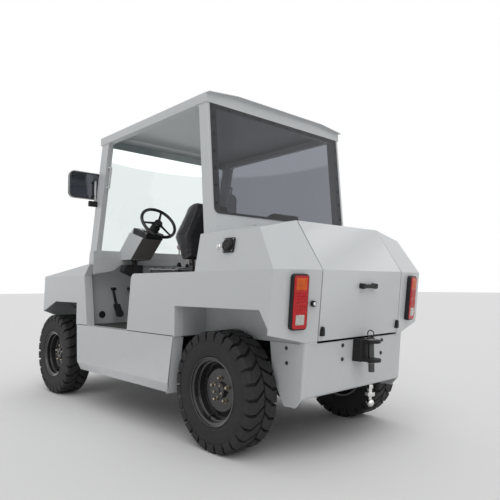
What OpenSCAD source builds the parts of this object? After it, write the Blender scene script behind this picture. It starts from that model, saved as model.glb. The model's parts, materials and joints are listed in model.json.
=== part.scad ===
// Airport baggage tug: a battery driven towing tractor with an open two-seat cab.
// Lengthwise places are measured forward from the rear axle until place() centres the tug.

/* [Wheels] */
// Distance between the axles
wheelbase = 2325; // [2000:5:2600]
// Outer diameter of a tyre over its lugs
tyre_d = 710; // [660:5:760]
// Width of a tyre
tyre_w = 213; // [180:1:220]
// How far a tyre's outer wall lies inside the body's side
tyre_inset = 24; // [10:1:50]
// Diameter over the rim's flange
rim_d = 408; // [380:2:430]
// Depth of the tread between the lugs
lug_h = 14; // [8:1:18]
// Number of lugs on each shoulder of a tyre
lug_n = 26; // [18:1:30]
// Wheel nuts on each hub
nut_n = 5; // [4:1:8]
// Diameter of the wheel nuts' circle
nut_circle_d = 142; // [130:1:160]

/* [Body] */
// Width of the body
body_w = 1490; // [1440:5:1560]
// Height of the body's lower edge, which is also the cab's floor level
sill_h = 655; // [640:1:680]
// Height of the crease along the body's side
belt_h = 1066; // [1040:1:1100]
// Height of the rear deck
deck_h = 1358; // [1330:1:1380]
// Thickness of the outer sheets
sheet_t = 8; // [5:1:10]
// Thickness of the low walls beside the seats and the door jambs
wall_t = 65; // [50:1:80]
// Gap between the body's lower edge and what lies below it
body_gap = 13; // [6:1:20]
// Distance from the rear axle back to the tail at the crease
tail_back = 606; // [580:1:640]
// How far the tail's lower edge lies forward of its crease
tail_rake = 45; // [20:1:60]
// Distance from the rear axle back to the deck's rear edge
deck_back = 420; // [380:1:450]
// Half the width of the rear hood's opening
hood_half_w = 409; // [380:1:420]
// Angle by which the rear corners turn forward
corner_angle = 9.6; // [5:0.1:14]
// How far the body's shoulder crease lies below the deck
shoulder_drop = 58; // [40:1:80]
// How far the shoulder crease lies inside the body's side
shoulder_in = 45; // [30:1:60]
// Slope of the strip between the shoulder and the deck, rise over run
strip_slope = 0.207; // [0.15:0.001:0.25]

/* [Door opening and nose] */
// Rear edge of the door opening at the sill
door_rear_x = 940; // [920:1:960]
// Distance from the door opening's front edge at the sill to the front axle
door_to_axle = 741; // [725:1:765]
// How much the door opening widens at each end on the way up to the crease
door_flare = 56; // [30:1:70]
// How far the fender's side plate reaches past the front axle
fender_reach = 191; // [175:1:215]
// How far the nose reaches past the front axle
nose_reach = 465; // [445:1:495]
// Fall of the nose's top per unit of length
nose_slope = 0.107; // [0.08:0.001:0.13]
// Height of the nose's lower edge in the middle
nose_low_h = 640; // [620:1:650]
// Angle by which the nose's corners turn back
nose_corner_angle = 40; // [34:1:44]

/* [Wheel arches] */
// Height of the rear arches
rear_arch_h = 850; // [830:1:860]
// Front edge of the rear arches
rear_arch_front = 338; // [330:1:345]
// Rear end of the rear arches' level top, behind the axle
rear_arch_back = 443; // [420:1:450]
// Height of the front arches
front_arch_h = 838; // [825:1:850]
// Rear edge of the front arches, behind the front axle
front_arch_back = 542; // [520:1:560]

/* [Cab] */
// Half the width over the cab's posts
cab_half_w = 674; // [660:1:678]
// Width of a post across the tug
post_t = 44; // [35:1:55]
// Height of the roof's crown
roof_h = 2238; // [2200:1:2300]
// Depth of the roof, from its crown down to the cab's frame
roof_depth = 93; // [80:1:110]
// How far the rear window's frame leans forward over its height
rear_lean = 55; // [30:1:70]
// Height of the rear window's lower edge over the deck
glass_sill = 72; // [60:1:90]
// How far the windscreen leans back over its height
screen_lean = 187; // [160:1:210]
// Distance from the windscreen's foot to the front axle
screen_to_axle = 633; // [620:1:650]
// Height of the windscreen's foot
scuttle_h = 1268; // [1250:1:1290]
// Thickness of the glass
glass_t = 6; // [4:1:8]

/* [Seats and controls] */
// Sideways place of the driver's seat
seat_y = 385; // [360:1:400]
// Width of a seat
seat_w = 450; // [420:1:470]
// Height of a seat's top
seat_h = 1115; // [1090:1:1130]
// Diameter of the steering wheel
steer_d = 316; // [300:2:340]
// Angle of the steering column from upright
column_angle = 55; // [45:1:60]

/* [Steering and hood] */
// Half the distance between the kingpins
kingpin_y = 452; // [440:1:460]
// Radius of a kingpin
kingpin_r = 18; // [15:1:22]
// Radius of a wheel spindle
spindle_r = 32; // [28:1:36]
// Running clearance between a pin or spindle and its bore
pin_gap = 0.05; // [0.02:0.01:0.1]
// Gap round the rear hood
hood_gap = 7; // [6:1:9]

/* [Hitch] */
// Radius of the towing pin
tow_pin_r = 18; // [15:1:20]
// Height between the hitch's jaws
jaw_open = 90; // [80:1:100]
// Height of the middle of the hitch's mouth
hitch_h = 590; // [580:1:600]

/* [Hidden] */
$fn = 48;

paint = [0.80, 0.81, 0.82];
black = [0.05, 0.05, 0.055];
dark = [0.13, 0.13, 0.14];
rubber = [0.04, 0.04, 0.045];
seat_black = [0.06, 0.06, 0.065];
glass = [0.35, 0.42, 0.46, 0.45];
steel = [0.62, 0.62, 0.60];
lamp_red = [0.80, 0.06, 0.05];
lamp_clear = [0.85, 0.87, 0.88];

far = 4000;
shoulder_h = deck_h - shoulder_drop;
door_front_x = wheelbase - door_to_axle;
fender_front_x = wheelbase + fender_reach;
nose_x = wheelbase + nose_reach;
roof_low_h = roof_h - roof_depth;
rear_glass_h = deck_h + glass_sill;
cab_front_low_x = wheelbase - screen_to_axle;
cab_front_top_x = cab_front_low_x - screen_lean;
half_w = body_w / 2;
wheel_r = tyre_d / 2;
tyre_out = half_w - tyre_inset;
tyre_mid = tyre_out - tyre_w / 2;
body_low_h = sill_h + body_gap;
bumper_t = 10;
bumper_front_x = nose_x + 62;
hitch_tip_x = tail_back + 87;
mid_x = (bumper_front_x - hitch_tip_x) / 2;

// Mitred inset of a counter-clockwise outline by t
function unit(v) = v / norm(v);
function left_of(v) = [-v[1], v[0]];
function inset(p, t) = [for (i = [0:len(p) - 1])
  let (a = p[(i + len(p) - 1) % len(p)], b = p[i], c = p[(i + 1) % len(p)],
    m = left_of(unit(b - a)), n = left_of(unit(c - b)))
  b + t * (m + n) / (1 + m * n)];

// Rounds the corner b between a and c with radius r, in the given number of steps
function corner(a, b, c, r, steps = 5) =
  let (u = unit(a - b), v = unit(c - b), half = acos(u * v) / 2, o = b + unit(u + v) * r / sin(half),
    p = b + u * r / tan(half) - o, q = b + v * r / tan(half) - o,
    turn = acos(p * q / (r * r)), s = sign(p[0] * q[1] - p[1] * q[0]))
  [for (i = [0:steps]) let (w = s * turn * i / steps)
    o + [p[0] * cos(w) - p[1] * sin(w), p[0] * sin(w) + p[1] * cos(w)]];

// Every corner of an outline rounded by r
function rounded(p, r, steps = 5) = [for (i = [0:len(p) - 1])
  for (q = corner(p[(i + len(p) - 1) % len(p)], p[i], p[(i + 1) % len(p)], r, steps)) q];

// Rectangle with corners (x0, y0) and (x1, y1)
function rect(x0, y0, x1, y1) = [[x0, y0], [x1, y0], [x1, y1], [x0, y1]];

module place() { translate([-mid_x, 0, 0]) children(); }

module both() {
  children();
  mirror([0, 1, 0]) children();
}

// An outline in length and height, stretched across from y0 to y1
module side_prism(points, y0, y1) {
  translate([0, y1, 0]) rotate([90, 0, 0]) linear_extrude(height = y1 - y0) polygon(points);
}

// An outline in width and height, stretched along from x0 to x1
module front_prism(points, x0, x1) {
  translate([x0, 0, 0]) rotate([90, 0, 90]) linear_extrude(height = x1 - x0) polygon(points);
}

module block(x0, x1, y0, y1, z0, z1) { translate([x0, y0, z0]) cube([x1 - x0, y1 - y0, z1 - z0]); }

// Cylinder lying across the tug, from y0 to y1
module across(x, z, y0, y1, r) { translate([x, y1, z]) rotate([90, 0, 0]) cylinder(h = y1 - y0, r = r); }

// Body form

tail_outline = [[far, 0], [far, deck_h], [-deck_back, deck_h], [-tail_back, belt_h],
  [-tail_back + tail_rake * belt_h / (belt_h - sill_h), 0]];
crown_h = shoulder_h + (half_w - shoulder_in) * strip_slope;
// The sides' crease lies just below the tail's, so that four faces never meet in one point
side_belt_h = belt_h - 1;
cross_outline = [[half_w, 0], [half_w, side_belt_h], [half_w - shoulder_in, shoulder_h], [0, crown_h],
  [-half_w + shoulder_in, shoulder_h], [-half_w, side_belt_h], [-half_w, 0]];

// Turned copy of the tail's outline that makes a rear corner
module tail_corner(t) {
  translate([-tail_back, hood_half_w, 0]) rotate([0, 0, -corner_angle])
    translate([tail_back, 0, 0]) side_prism(inset(tail_outline, t), -far, far);
}

module tail_form(t) {
  intersection() {
    side_prism(inset(tail_outline, t), -half_w, half_w);
    front_prism(inset(cross_outline, t), -far, far);
    tail_corner(t);
    mirror([0, 1, 0]) tail_corner(t);
  }
}

arch_drop = 129;
rear_arch_outline = [[rear_arch_front, 0], [rear_arch_front, rear_arch_h],
  [-rear_arch_back, rear_arch_h], [-rear_arch_back - 81, rear_arch_h - arch_drop],
  [-rear_arch_back - 331, rear_arch_h - arch_drop - 70], [-rear_arch_back - 331, 0]];

cab_back_x = 105;
panel_outline = concat([[-far, sill_h], [door_rear_x, sill_h]],
  corner([door_rear_x, sill_h], [door_rear_x - door_flare, belt_h], [cab_back_x, belt_h], 45),
  [[cab_back_x, belt_h], [cab_back_x, far], [-far, far]]);

module side_panel() {
  color(paint) difference() {
    intersection() {
      union() {
        difference() {
          tail_form(0);
          tail_form(sheet_t);
          tail_corner_slab();
        }
        block(cab_back_x, door_rear_x, half_w - wall_t, half_w, sill_h, belt_h);
      }
      side_prism(panel_outline, hood_half_w, half_w + 1);
      block(-far, far, hood_half_w + hood_gap / 2, far, 0, far);
    }
    side_prism(rear_arch_outline, liner_in - 60, half_w + 1);
  }
}

// Slope of the tail above its crease, run over rise
tail_slope = (tail_back - deck_back) / (deck_h - belt_h);
// The tail's two rear faces alone, with no deck over them
face_outline = [[far, 0], [far, far], [-tail_back + tail_slope * (far - belt_h), far], [-tail_back, belt_h],
  [-tail_back + tail_rake * belt_h / (belt_h - sill_h), 0]];

// Plate under a rear corner's turned face, 1 mm thicker than the sheet and standing 1 mm proud
corner_outer = inset(face_outline, -1);
corner_inner = inset(face_outline, sheet_t + 1);
module tail_corner_slab() {
  translate([-tail_back, hood_half_w, 0]) rotate([0, 0, -corner_angle]) translate([tail_back, 0, 0])
    side_prism([corner_outer[2], corner_outer[3], corner_outer[4], corner_inner[4], corner_inner[3],
      corner_inner[2]], -200, 600);
}

module corner_panels() {
  color(paint) both() difference() {
    intersection() {
      tail_form(0);
      tail_corner_slab();
      block(-far, 0, hood_half_w + hood_gap / 2, far, body_low_h, far);
    }
    front_prism([[bumper_half_w + 9, body_low_h], [bumper_half_w + 9, 0], [half_w + 1, 0],
      [half_w + 1, rear_arch_h - arch_drop]], -far, 0);
  }
}

module side_panel_left() { side_panel(); }
module side_panel_right() { mirror([0, 1, 0]) side_panel(); }

liner_in = tyre_out - tyre_w - 20;
module arch_box(t) { side_prism(inset(rear_arch_outline, -t), liner_in - t, far); }
module arch_liners() {
  color(paint) both() difference() {
    intersection() {
      tail_form(sheet_t);
      arch_box(sheet_t);
      block(-far, far, 0, far, sill_h, far);
    }
    arch_box(0);
    tail_corner_slab();
    block(cab_back_x, far, half_w - wall_t, far, 0, far);
  }
}

// Rear hood: deck, slope and tail in one lid that swings up about its front edge

hood_pivot_x = 20;
hood_pivot_z = deck_h + 12;
hood_front_x = 6;
hinge_pin_r = 5;
module rear_hood() {
  color(paint) {
    difference() {
      intersection() {
        side_prism(tail_outline, -hood_half_w + hood_gap / 2, hood_half_w - hood_gap / 2);
        block(-far, hood_front_x, -far, far, body_low_h + 2, far);
      }
      side_prism(inset(tail_outline, sheet_t), -hood_half_w + 30, hood_half_w - 30);
      side_prism(inset(tail_outline, 26), -far, far);
    }
    for (y = [-280, 280]) difference() {
      union() {
        block(hood_front_x - 60, hood_pivot_x - 4, y - 30, y + 30, deck_h, deck_h + 5);
        across(hood_pivot_x, hood_pivot_z, y - 30, y + 30, 10);
        block(hood_pivot_x - 24, hood_pivot_x, y - 30, y + 30, deck_h, hood_pivot_z);
      }
      across(hood_pivot_x, hood_pivot_z, y - 31, y + 31, hinge_pin_r + pin_gap);
    }
  }
}

// Outer face of the tail below its crease at height z
function tail_x(z) = -tail_back + corner_face_x(z);
handle_low = 962;
handle_high = 990;
handle_half = 95;
latch_y = 385;
latch_low = 700;
latch_high = 751;

// Strip that lies on the tail's face below its crease, from depth d0 to d1 behind it
function tail_strip(z0, z1, d0, d1) = [[tail_x(z0) - d1, z0], [tail_x(z0) - d0, z0], [tail_x(z1) - d0, z1],
  [tail_x(z1) - d1, z1]];
module hood_fittings() {
  color(black) {
    side_prism(tail_strip(handle_low + 4, handle_high - 4, 20, 32), -handle_half, handle_half);
    for (s = [-1, 1]) side_prism(tail_strip(handle_low, handle_high, 0, 34), s * (handle_half - 12) - 14,
      s * (handle_half - 12) + 14);
    both() intersection() {
      side_prism(tail_strip(latch_low, latch_high, seat_gap, 40), latch_y - 20, latch_y + 20);
      translate([tail_x(latch_low) - 6, latch_y, 0]) cylinder(h = far, r = 12);
    }
  }
}

// Cab

module cab_rear_frame() {
  foot = shoulder_h;
  in_w = cab_half_w - post_t;
  color(paint) {
    difference() {
      side_prism([[cab_rear_x(foot), foot], [cab_rear_x(foot) + 40, foot],
        [cab_rear_x(frame_top_h) + 40, frame_top_h], [cab_rear_x(frame_top_h), frame_top_h]], -in_w, in_w);
      block(-far, far, -in_w + 30, in_w - 30, rear_glass_h + 15, roof_low_h - 30);
      block(-far, far, -far, far, 0, deck_h - 1);
      tail_top();
    }
    difference() {
      intersection() {
        block(cab_back_x, cab_back_x + 20, -half_w, half_w, sill_h, deck_h);
        union() {
          tail_form(0);
          block(0, far, -half_w, half_w, 0, belt_h);
        }
        union() {
          block(0, far, -half_w + wall_t, half_w - wall_t, 0, far);
          block(0, far, -half_w, half_w, belt_h, far);
        }
      }
      both() arch_box(sheet_t);
    }
    block(cab_rear_x(deck_h) - 18, cab_back_x, -hood_half_w, hood_half_w, deck_h - 40, deck_h);
    for (y = [-280, 280]) {
      for (s = [-1, 1]) block(hood_pivot_x - 9, cab_rear_x(deck_h) + 4, y + s * 42 - 9, y + s * 42 + 9,
        deck_h - 30, hood_pivot_z + 9);
      across(hood_pivot_x, hood_pivot_z, y - 50, y + 50, hinge_pin_r);
    }
  }
}

// The tail's form as far forward as the cab's rear wall, which the posts stand on
module tail_top() {
  intersection() {
    tail_form(0);
    block(-far, cab_back_x + 20, -far, far, 0, far);
  }
}

// Rear face of the cab at height z
function cab_rear_x(z) = 50 + (z - deck_h) * rear_lean / (roof_low_h - deck_h);
// Front face of the cab's pillars at height z
function cab_front_x(z) = cab_front_low_x
  - (z - scuttle_h) * (cab_front_low_x - cab_front_top_x) / (roof_low_h - scuttle_h);
pillar_w = 112;
rear_post_w = 78;
rail_top_h = roof_low_h + 45;
frame_top_h = roof_low_h + 40;

module cab_side() {
  color(paint) {
    difference() {
      side_prism([[cab_rear_x(shoulder_h), shoulder_h], [cab_front_x(scuttle_h), scuttle_h],
        [cab_front_x(rail_top_h), rail_top_h], [cab_rear_x(rail_top_h), rail_top_h]],
        cab_half_w - post_t, cab_half_w);
      side_prism(rounded([[cab_rear_x(0) + rear_post_w, 0], [cab_front_x(0) - pillar_w, 0],
        [cab_front_x(roof_low_h) - pillar_w, roof_low_h - 1],
        [cab_rear_x(roof_low_h) + rear_post_w, roof_low_h - 1]], 25), 0, far);
      tail_top();
    }
    grab_handle();
  }
}

// Round bar bent into a handle on the rear side of the front pillar
grab_h = roof_low_h - 273;
grab_half = 82;
grab_out = 46;
grab_r = 8;
module grab_handle() {
  lean = atan((cab_front_low_x - cab_front_top_x) / (roof_low_h - scuttle_h));
  translate([cab_front_x(grab_h) - pillar_w, cab_half_w - post_t / 2, grab_h]) rotate([0, -lean, 0]) {
    for (s = [-1, 1]) translate([-grab_out, 0, s * grab_half]) {
      sphere(r = grab_r);
      rotate([0, 90, 0]) cylinder(h = grab_out + 4, r = grab_r);
    }
    translate([-grab_out, 0, -grab_half]) cylinder(h = 2 * grab_half, r = grab_r);
  }
}
module cab_side_left() { cab_side(); }
module cab_side_right() { mirror([0, 1, 0]) cab_side(); }

module roof_form(t) {
  w = cab_half_w + 6;
  intersection() {
    front_prism(inset([[w, roof_low_h - 40], [w, roof_low_h + 62], [430, roof_h], [-430, roof_h],
      [-w, roof_low_h + 62], [-w, roof_low_h - 40]], t), 0, far);
    side_prism(inset([[cab_rear_x(roof_low_h) - 7, roof_low_h - 40],
      [cab_front_top_x + 20, roof_low_h - 40], [cab_front_top_x + 20, roof_low_h + 66],
      [cab_front_top_x - 70, roof_h + 5], [cab_rear_x(roof_low_h) + 130, roof_h + 5],
      [cab_rear_x(roof_low_h) - 7, roof_h - 8]], t), -far, far);
  }
}

module roof_panel() {
  color(paint) intersection() {
    difference() {
      roof_form(0);
      roof_form(sheet_t - 2);
    }
    block(0, far, -far, far, roof_low_h, far);
  }
}

// Depth of the windscreen behind the pillars' front face
screen_in = 30;
module windscreen() {
  low_x = cab_front_x(scuttle_h) - screen_in;
  high_x = cab_front_x(rail_top_h) - screen_in;
  color(glass) side_prism([[low_x, scuttle_h], [low_x + glass_t, scuttle_h], [high_x + glass_t, rail_top_h],
    [high_x, rail_top_h]], -cab_half_w + post_t, cab_half_w - post_t);
}

module rear_window() {
  w = cab_half_w - 26;
  color(glass) translate([-seat_gap, 0, 0]) intersection() {
    side_prism([[cab_rear_x(rear_glass_h) - glass_t, rear_glass_h],
      [cab_rear_x(rear_glass_h), rear_glass_h],
      [cab_rear_x(roof_low_h), roof_low_h], [cab_rear_x(roof_low_h) - glass_t, roof_low_h]], -w, w);
    front_prism(rounded(rect(-w, rear_glass_h, w, roof_low_h + 100), 40), -far, far);
  }
}

// Floor, skirts and nose

module floor_plate() {
  color(dark) difference() {
    block(cab_back_x, cowl_x + 8, -half_w + wall_t, half_w - wall_t, sill_h - floor_t, sill_h);
    both() arch_box(0);
  }
}

floor_t = 6;
skirt_front_x = wheelbase - 560;
skirt_rear_x = 352;
skirt_bend_h = 354;
skirt_low_h = 285;
skirt_proud = 3;
module side_skirts() {
  out = half_w + skirt_proud;
  color(paint) both() intersection() {
    side_prism([[skirt_rear_x, sill_h], [skirt_rear_x + 53, skirt_bend_h], [skirt_rear_x + 66, skirt_low_h],
      [skirt_front_x - 40, skirt_low_h], [skirt_front_x - 18, skirt_bend_h], [skirt_front_x, sill_h]],
      0, far);
    front_prism([[out, sill_h], [half_w - wall_t, sill_h], [half_w - wall_t, sill_h - floor_t],
      [out - floor_t, sill_h - floor_t], [out - floor_t, skirt_bend_h], [out - 30, skirt_low_h],
      [out - 30 + floor_t, skirt_low_h], [out, skirt_bend_h]], 0, far);
  }
}

cowl_x = cab_front_low_x + 8;
nose_top_h = belt_h - 4;
function nose_top_z(x) = nose_top_h + (fender_front_x - x) * nose_slope;
nose_outline = [[0, 0], [nose_x + 12, 0], [nose_x - 40, nose_top_h - 85],
  [fender_front_x, nose_top_h], [0, nose_top_z(0)]];
nose_corner_y = half_w - (nose_x - 20 - fender_front_x) / tan(nose_corner_angle);

module nose_corner(t) {
  translate([nose_x, nose_corner_y, 0]) rotate([0, 0, nose_corner_angle]) translate([-nose_x, 0, 0])
    side_prism(inset([[-far, 0], [nose_x + 12, 0], [nose_x - 40, nose_top_h + 40],
      [-far, nose_top_h + 40]], t), -far, far);
}

module nose_form(t) {
  intersection() {
    side_prism(inset(nose_outline, t), -half_w, half_w);
    front_prism(inset(cross_outline, t), -far, far);
    union() {
      intersection() {
        nose_corner(t);
        mirror([0, 1, 0]) nose_corner(t);
      }
      block(-far, fender_front_x - 200, -far, far, 0, far);
    }
  }
}

nose_seam_y = 420;
front_arch_outline = [[wheelbase - front_arch_back, 0], [far, 0], [far, nose_low_h],
  [nose_x, nose_low_h], [fender_front_x, front_arch_h - 99], [fender_front_x - 289, front_arch_h],
  [wheelbase - front_arch_back, front_arch_h]];

module nose_shell() {
  intersection() {
    difference() {
      nose_form(0);
      nose_form(sheet_t);
    }
    block(cowl_x + 8, far, -far, far, nose_low_h, far);
  }
}

module headlamp_place(r, x0, x1) {
  both() translate([x0, headlamp_y, headlamp_h]) rotate([0, 90, 0]) cylinder(h = x1 - x0, r = r);
}

headlamp_y = 290;
headlamp_h = 810;
headlamp_r = 80;
louvre_n = 6;
louvre_half = 150;
louvre_low = 740;
louvre_pitch = 28;
louvre_h = 11;
module front_fenders() {
  color(paint) both() difference() {
    union() {
      intersection() {
        nose_shell();
        block(0, far, nose_seam_y, far, 0, far);
      }
      intersection() {
        nose_form(0);
        side_prism([[door_front_x, sill_h], [cowl_x + 8, sill_h], [cowl_x + 8, far],
          [door_front_x + 8, far], [door_front_x + 8, belt_h + 84],
          [door_front_x + door_flare + 6, nose_top_h]],
          half_w - wall_t, half_w);
        block(0, far, 0, far, sill_h, far);
      }
      block(cowl_x + 8, wheelbase - front_arch_back + sheet_t, half_w - wall_t, half_w - sheet_t,
        sill_h, front_arch_h);
    }
    side_prism(front_arch_outline, nose_seam_y - 1, half_w + 1);
    block(0, wheelbase - front_arch_back + sheet_t, 0, far, 0, sill_h);
  }
}

module nose_panel() {
  color(paint) difference() {
    intersection() {
      nose_shell();
      block(0, far, -nose_seam_y, nose_seam_y, 0, far);
    }
    headlamp_place(headlamp_r + 0.3, nose_x - 200, nose_x + 100);
    for (i = [0:louvre_n - 1]) block(nose_x - 100, nose_x + 100, -louvre_half, louvre_half,
      louvre_low + i * louvre_pitch, louvre_low + i * louvre_pitch + louvre_h);
  }
}

// Height of the scuttle's rear edge, and its depth over the feet
dash_edge = 60;
dash_deep = 115;
module cowl() {
  w = half_w - wall_t;
  color(paint) {
    side_prism([[cowl_x, sill_h], [cowl_x + 8, sill_h], [cowl_x + 8, nose_top_z(cowl_x)],
      [cab_front_low_x, scuttle_h], [dash_x, scuttle_h], [dash_x, scuttle_h - dash_edge],
      [dash_x + dash_edge, scuttle_h - dash_deep], [cowl_x, scuttle_h - dash_deep]], -w, w);
  }
}

// A sheet bent into a U and standing upright, with its plate at x = 0 and its cheeks reaching to x = reach
bend_r = 16;
module bent_sheet(reach, low, high) {
  w = bumper_half_w;
  t = bumper_t;
  translate([0, 0, low]) linear_extrude(height = high - low) polygon(concat(
    corner([reach, w], [0, w], [0, -w], bend_r), corner([0, w], [0, -w], [reach, -w], bend_r),
    [[reach, -w], [reach, -w + t]],
    corner([reach, -w + t], [t, -w + t], [t, w - t], bend_r - t),
    corner([t, -w + t], [t, w - t], [reach, w - t], bend_r - t),
    [[reach, w - t], [reach, w]]));
}

// Front bumper: one sheet bent into a plate between two cheeks, as at the rear
front_bumper_high = nose_low_h - 10;
front_bumper_low = 372;
front_bumper_back = nose_x - 25;
front_rake = 10;
module front_bumper() {
  rake = atan(front_rake / (front_bumper_high - front_bumper_low));
  color(paint) intersection() {
    translate([bumper_front_x, 0, front_bumper_high]) mirror([1, 0, 0]) rotate([0, -rake, 0])
      bent_sheet(200, -400, 100);
    side_prism([[front_bumper_back, front_bumper_high], [front_bumper_back + 28, 410],
      [bumper_front_x - 34, front_bumper_low - 46], [bumper_front_x - front_rake, front_bumper_low],
      [bumper_front_x + 5, front_bumper_low], [bumper_front_x + 5, front_bumper_high]],
      -half_w, half_w);
  }
}

// Rear bumper

bumper_top_x = -(tail_back - 58);
bumper_low_x = -(tail_back - 86);
bumper_low_h = 365;
bumper_half_w = 495;
bumper_cheek = [[-276, sill_h], [bumper_top_x - 5, sill_h], [bumper_low_x - 5, bumper_low_h],
  [bumper_low_x, bumper_low_h], [-463, 303], [-382, 301], [-294, 451]];
module rear_bumper() {
  rake = atan((bumper_top_x - bumper_low_x) / (sill_h - bumper_low_h));
  color(paint) intersection() {
    translate([bumper_top_x, 0, sill_h]) rotate([0, rake, 0]) bent_sheet(400, -500, 100);
    side_prism(bumper_cheek, -half_w, half_w);
  }
}

// Chassis and axles

// Gap left where a slanting face seats on another
seat_gap = 0.2;
rail_y0 = 210;
rail_y1 = 270;
beam_half_w = 280;
// End beams stop where the bumpers' bends begin
beam_end_y = bumper_half_w - bend_r - 1;
rail_low = 430;
rail_high = 560;
rail_back_x = -440;
cross_x = [560, wheelbase - 1175, wheelbase - 685];
cross_w = 70;
// Inner side of the rear bumper's plate at height z
function bumper_x(z) = bumper_top_x + bumper_t
  + (sill_h - z) * (bumper_low_x - bumper_top_x) / (sill_h - bumper_low_h);
// Rear side of the front bumper's plate at height z
function front_bumper_x(z) = bumper_front_x - bumper_t
  - front_rake * (front_bumper_high - z) / (front_bumper_high - front_bumper_low);
module chassis_frame() {
  color(black) {
    both() block(rail_back_x - 10, nose_x - 60, rail_y0, rail_y1, rail_low, rail_high);
    translate([seat_gap, 0, 0]) side_prism([[bumper_x(rail_low), rail_low], [rail_back_x, rail_low],
      [rail_back_x, rail_high], [bumper_x(rail_high), rail_high]], -beam_end_y, beam_end_y);
    for (x = cross_x) block(x - cross_w / 2, x + cross_w / 2, -half_w + floor_t - skirt_proud,
      half_w - floor_t + skirt_proud, rail_high - 20, sill_h - floor_t);
    block(nose_x - 70, nose_x, -beam_half_w, beam_half_w, rail_low, rail_high);
    translate([-seat_gap, 0, 0]) side_prism([[nose_x - 20, rail_low], [front_bumper_x(rail_low), rail_low],
      [front_bumper_x(rail_high), rail_high], [nose_x - 20, rail_high]],
      -beam_end_y, beam_end_y);
    block(cab_back_x - 30, cab_back_x + 20, -rail_y1, rail_y1, rail_high - 1, sill_h - floor_t);
    both() for (s = [-1, 1]) {
      spring_pin(s * spring_half, rail_y1, rear_spring_y + spring_w + 4);
      spring_pin(wheelbase + s * spring_half, front_spring_y - 4, rail_y0);
    }
  }
}

module spring_pin(x, y0, y1) { across(x, spring_seat_h + eye_h, y0, y1, spring_pin_r); }

// Leaf springs: the rear ones outside the rails, the front ones between them
spring_half = 360;
spring_w = 50;
spring_rise = 46;
leaf_t = 8;
leaf_pitch = leaf_t - 1;
spring_pin_r = 11;
eye_r = 22;
eye_h = 2 * leaf_pitch + spring_rise + leaf_t / 2;
spring_seat_h = wheel_r + 60;
rear_spring_y = rail_y1 + 24;
front_spring_y = rail_y0 - 24 - spring_w;
spring_pad = 84;
clamp_out = 14;
function leaf_z(x) = spring_rise * pow(x / spring_half, 2);
function leaf(half, low) = concat([for (i = [-5:5]) [half * i / 5, low + leaf_z(half * i / 5)]],
  [for (i = [5:-1:-5]) [half * i / 5, low + leaf_t + leaf_z(half * i / 5)]]);

module leaf_spring() {
  difference() {
    union() {
      // Each pair gives a leaf's place in the stack and its length as a share of the longest
      for (k = [[0, 0.42], [1, 0.72], [2, 1]])
        side_prism(leaf(spring_half * k[1], k[0] * leaf_pitch), 0, spring_w);
      for (s = [-1, 1]) across(s * spring_half, eye_h, 0, spring_w, eye_r);
      block(-spring_pad, spring_pad, -clamp_out, spring_w + clamp_out, 3 * leaf_pitch, 3 * leaf_pitch + 10);
      for (x = [-66, 66]) for (y = [-clamp_out / 2, spring_w + clamp_out / 2]) translate([x, y, 0])
        cylinder(h = 3 * leaf_pitch + 22, r = 6, $fn = 16);
    }
    for (s = [-1, 1]) across(s * spring_half, eye_h, -1, spring_w + 1, spring_pin_r + pin_gap);
  }
}

module leaf_springs() {
  color(black) both() {
    translate([0, rear_spring_y, spring_seat_h]) leaf_spring();
    translate([wheelbase, front_spring_y, spring_seat_h]) leaf_spring();
  }
}

axle_r = 55;
spindle_out = 45;
drum_r = 150;
banjo_half = 60;
motor_r = 112;
motor_front_x = 410;
hub_in_y = tyre_mid - 60;
module axle_hub(x) {
  across(x, wheel_r, hub_in_y, tyre_mid + spindle_out, spindle_r);
}

// Round housing of the final drive with the motor on its front, turned about one line along the tug
module drive_unit() {
  translate([0, 0, wheel_r]) rotate([0, 90, 0]) rotate_extrude() polygon([[0, -110], [70, -110],
    [drum_r, -banjo_half], [drum_r, banjo_half], [motor_r, banjo_half + 30], [motor_r, motor_front_x - 16],
    [motor_r - 16, motor_front_x], [0, motor_front_x]]);
}

module rear_axle() {
  color(black) {
    across(0, wheel_r, -hub_in_y + 20, hub_in_y - 20, axle_r);
    drive_unit();
    both() {
      across(0, wheel_r, hub_in_y - 60, hub_in_y, drum_r);
      axle_hub(0);
      block(-spring_pad, spring_pad, rear_spring_y - clamp_out, rear_spring_y + spring_w + clamp_out,
        wheel_r + 30, spring_seat_h);
    }
  }
}

knuckle_half_h = 60;
fork_t = 26;
fork_r = 38;
// Height of a fork's arms over and under the axle's middle
fork_h = knuckle_half_h + 0.5 + fork_t / 2;
beam_half = 45;
module front_axle() {
  color(black) {
    block(wheelbase - beam_half, wheelbase + beam_half, -kingpin_y + 60, kingpin_y - 60,
      wheel_r - beam_half, wheel_r + beam_half);
    both() {
      block(wheelbase - spring_pad, wheelbase + spring_pad, front_spring_y - clamp_out,
        front_spring_y + spring_w + clamp_out, wheel_r + beam_half - 1, spring_seat_h);
      for (s = [-1, 1]) translate([wheelbase, kingpin_y, wheel_r + s * fork_h]) {
        cylinder(h = fork_t, r = fork_r, center = true);
        block(-fork_r, fork_r, -90, 0, -fork_t / 2, fork_t / 2);
      }
      block(wheelbase - fork_r, wheelbase + fork_r, kingpin_y - 90, kingpin_y - 60,
        wheel_r - knuckle_half_h - fork_t, wheel_r + knuckle_half_h + fork_t);
      translate([wheelbase, kingpin_y, wheel_r])
        cylinder(h = 2 * knuckle_half_h + 20, r = kingpin_r, center = true);
    }
  }
}

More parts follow.
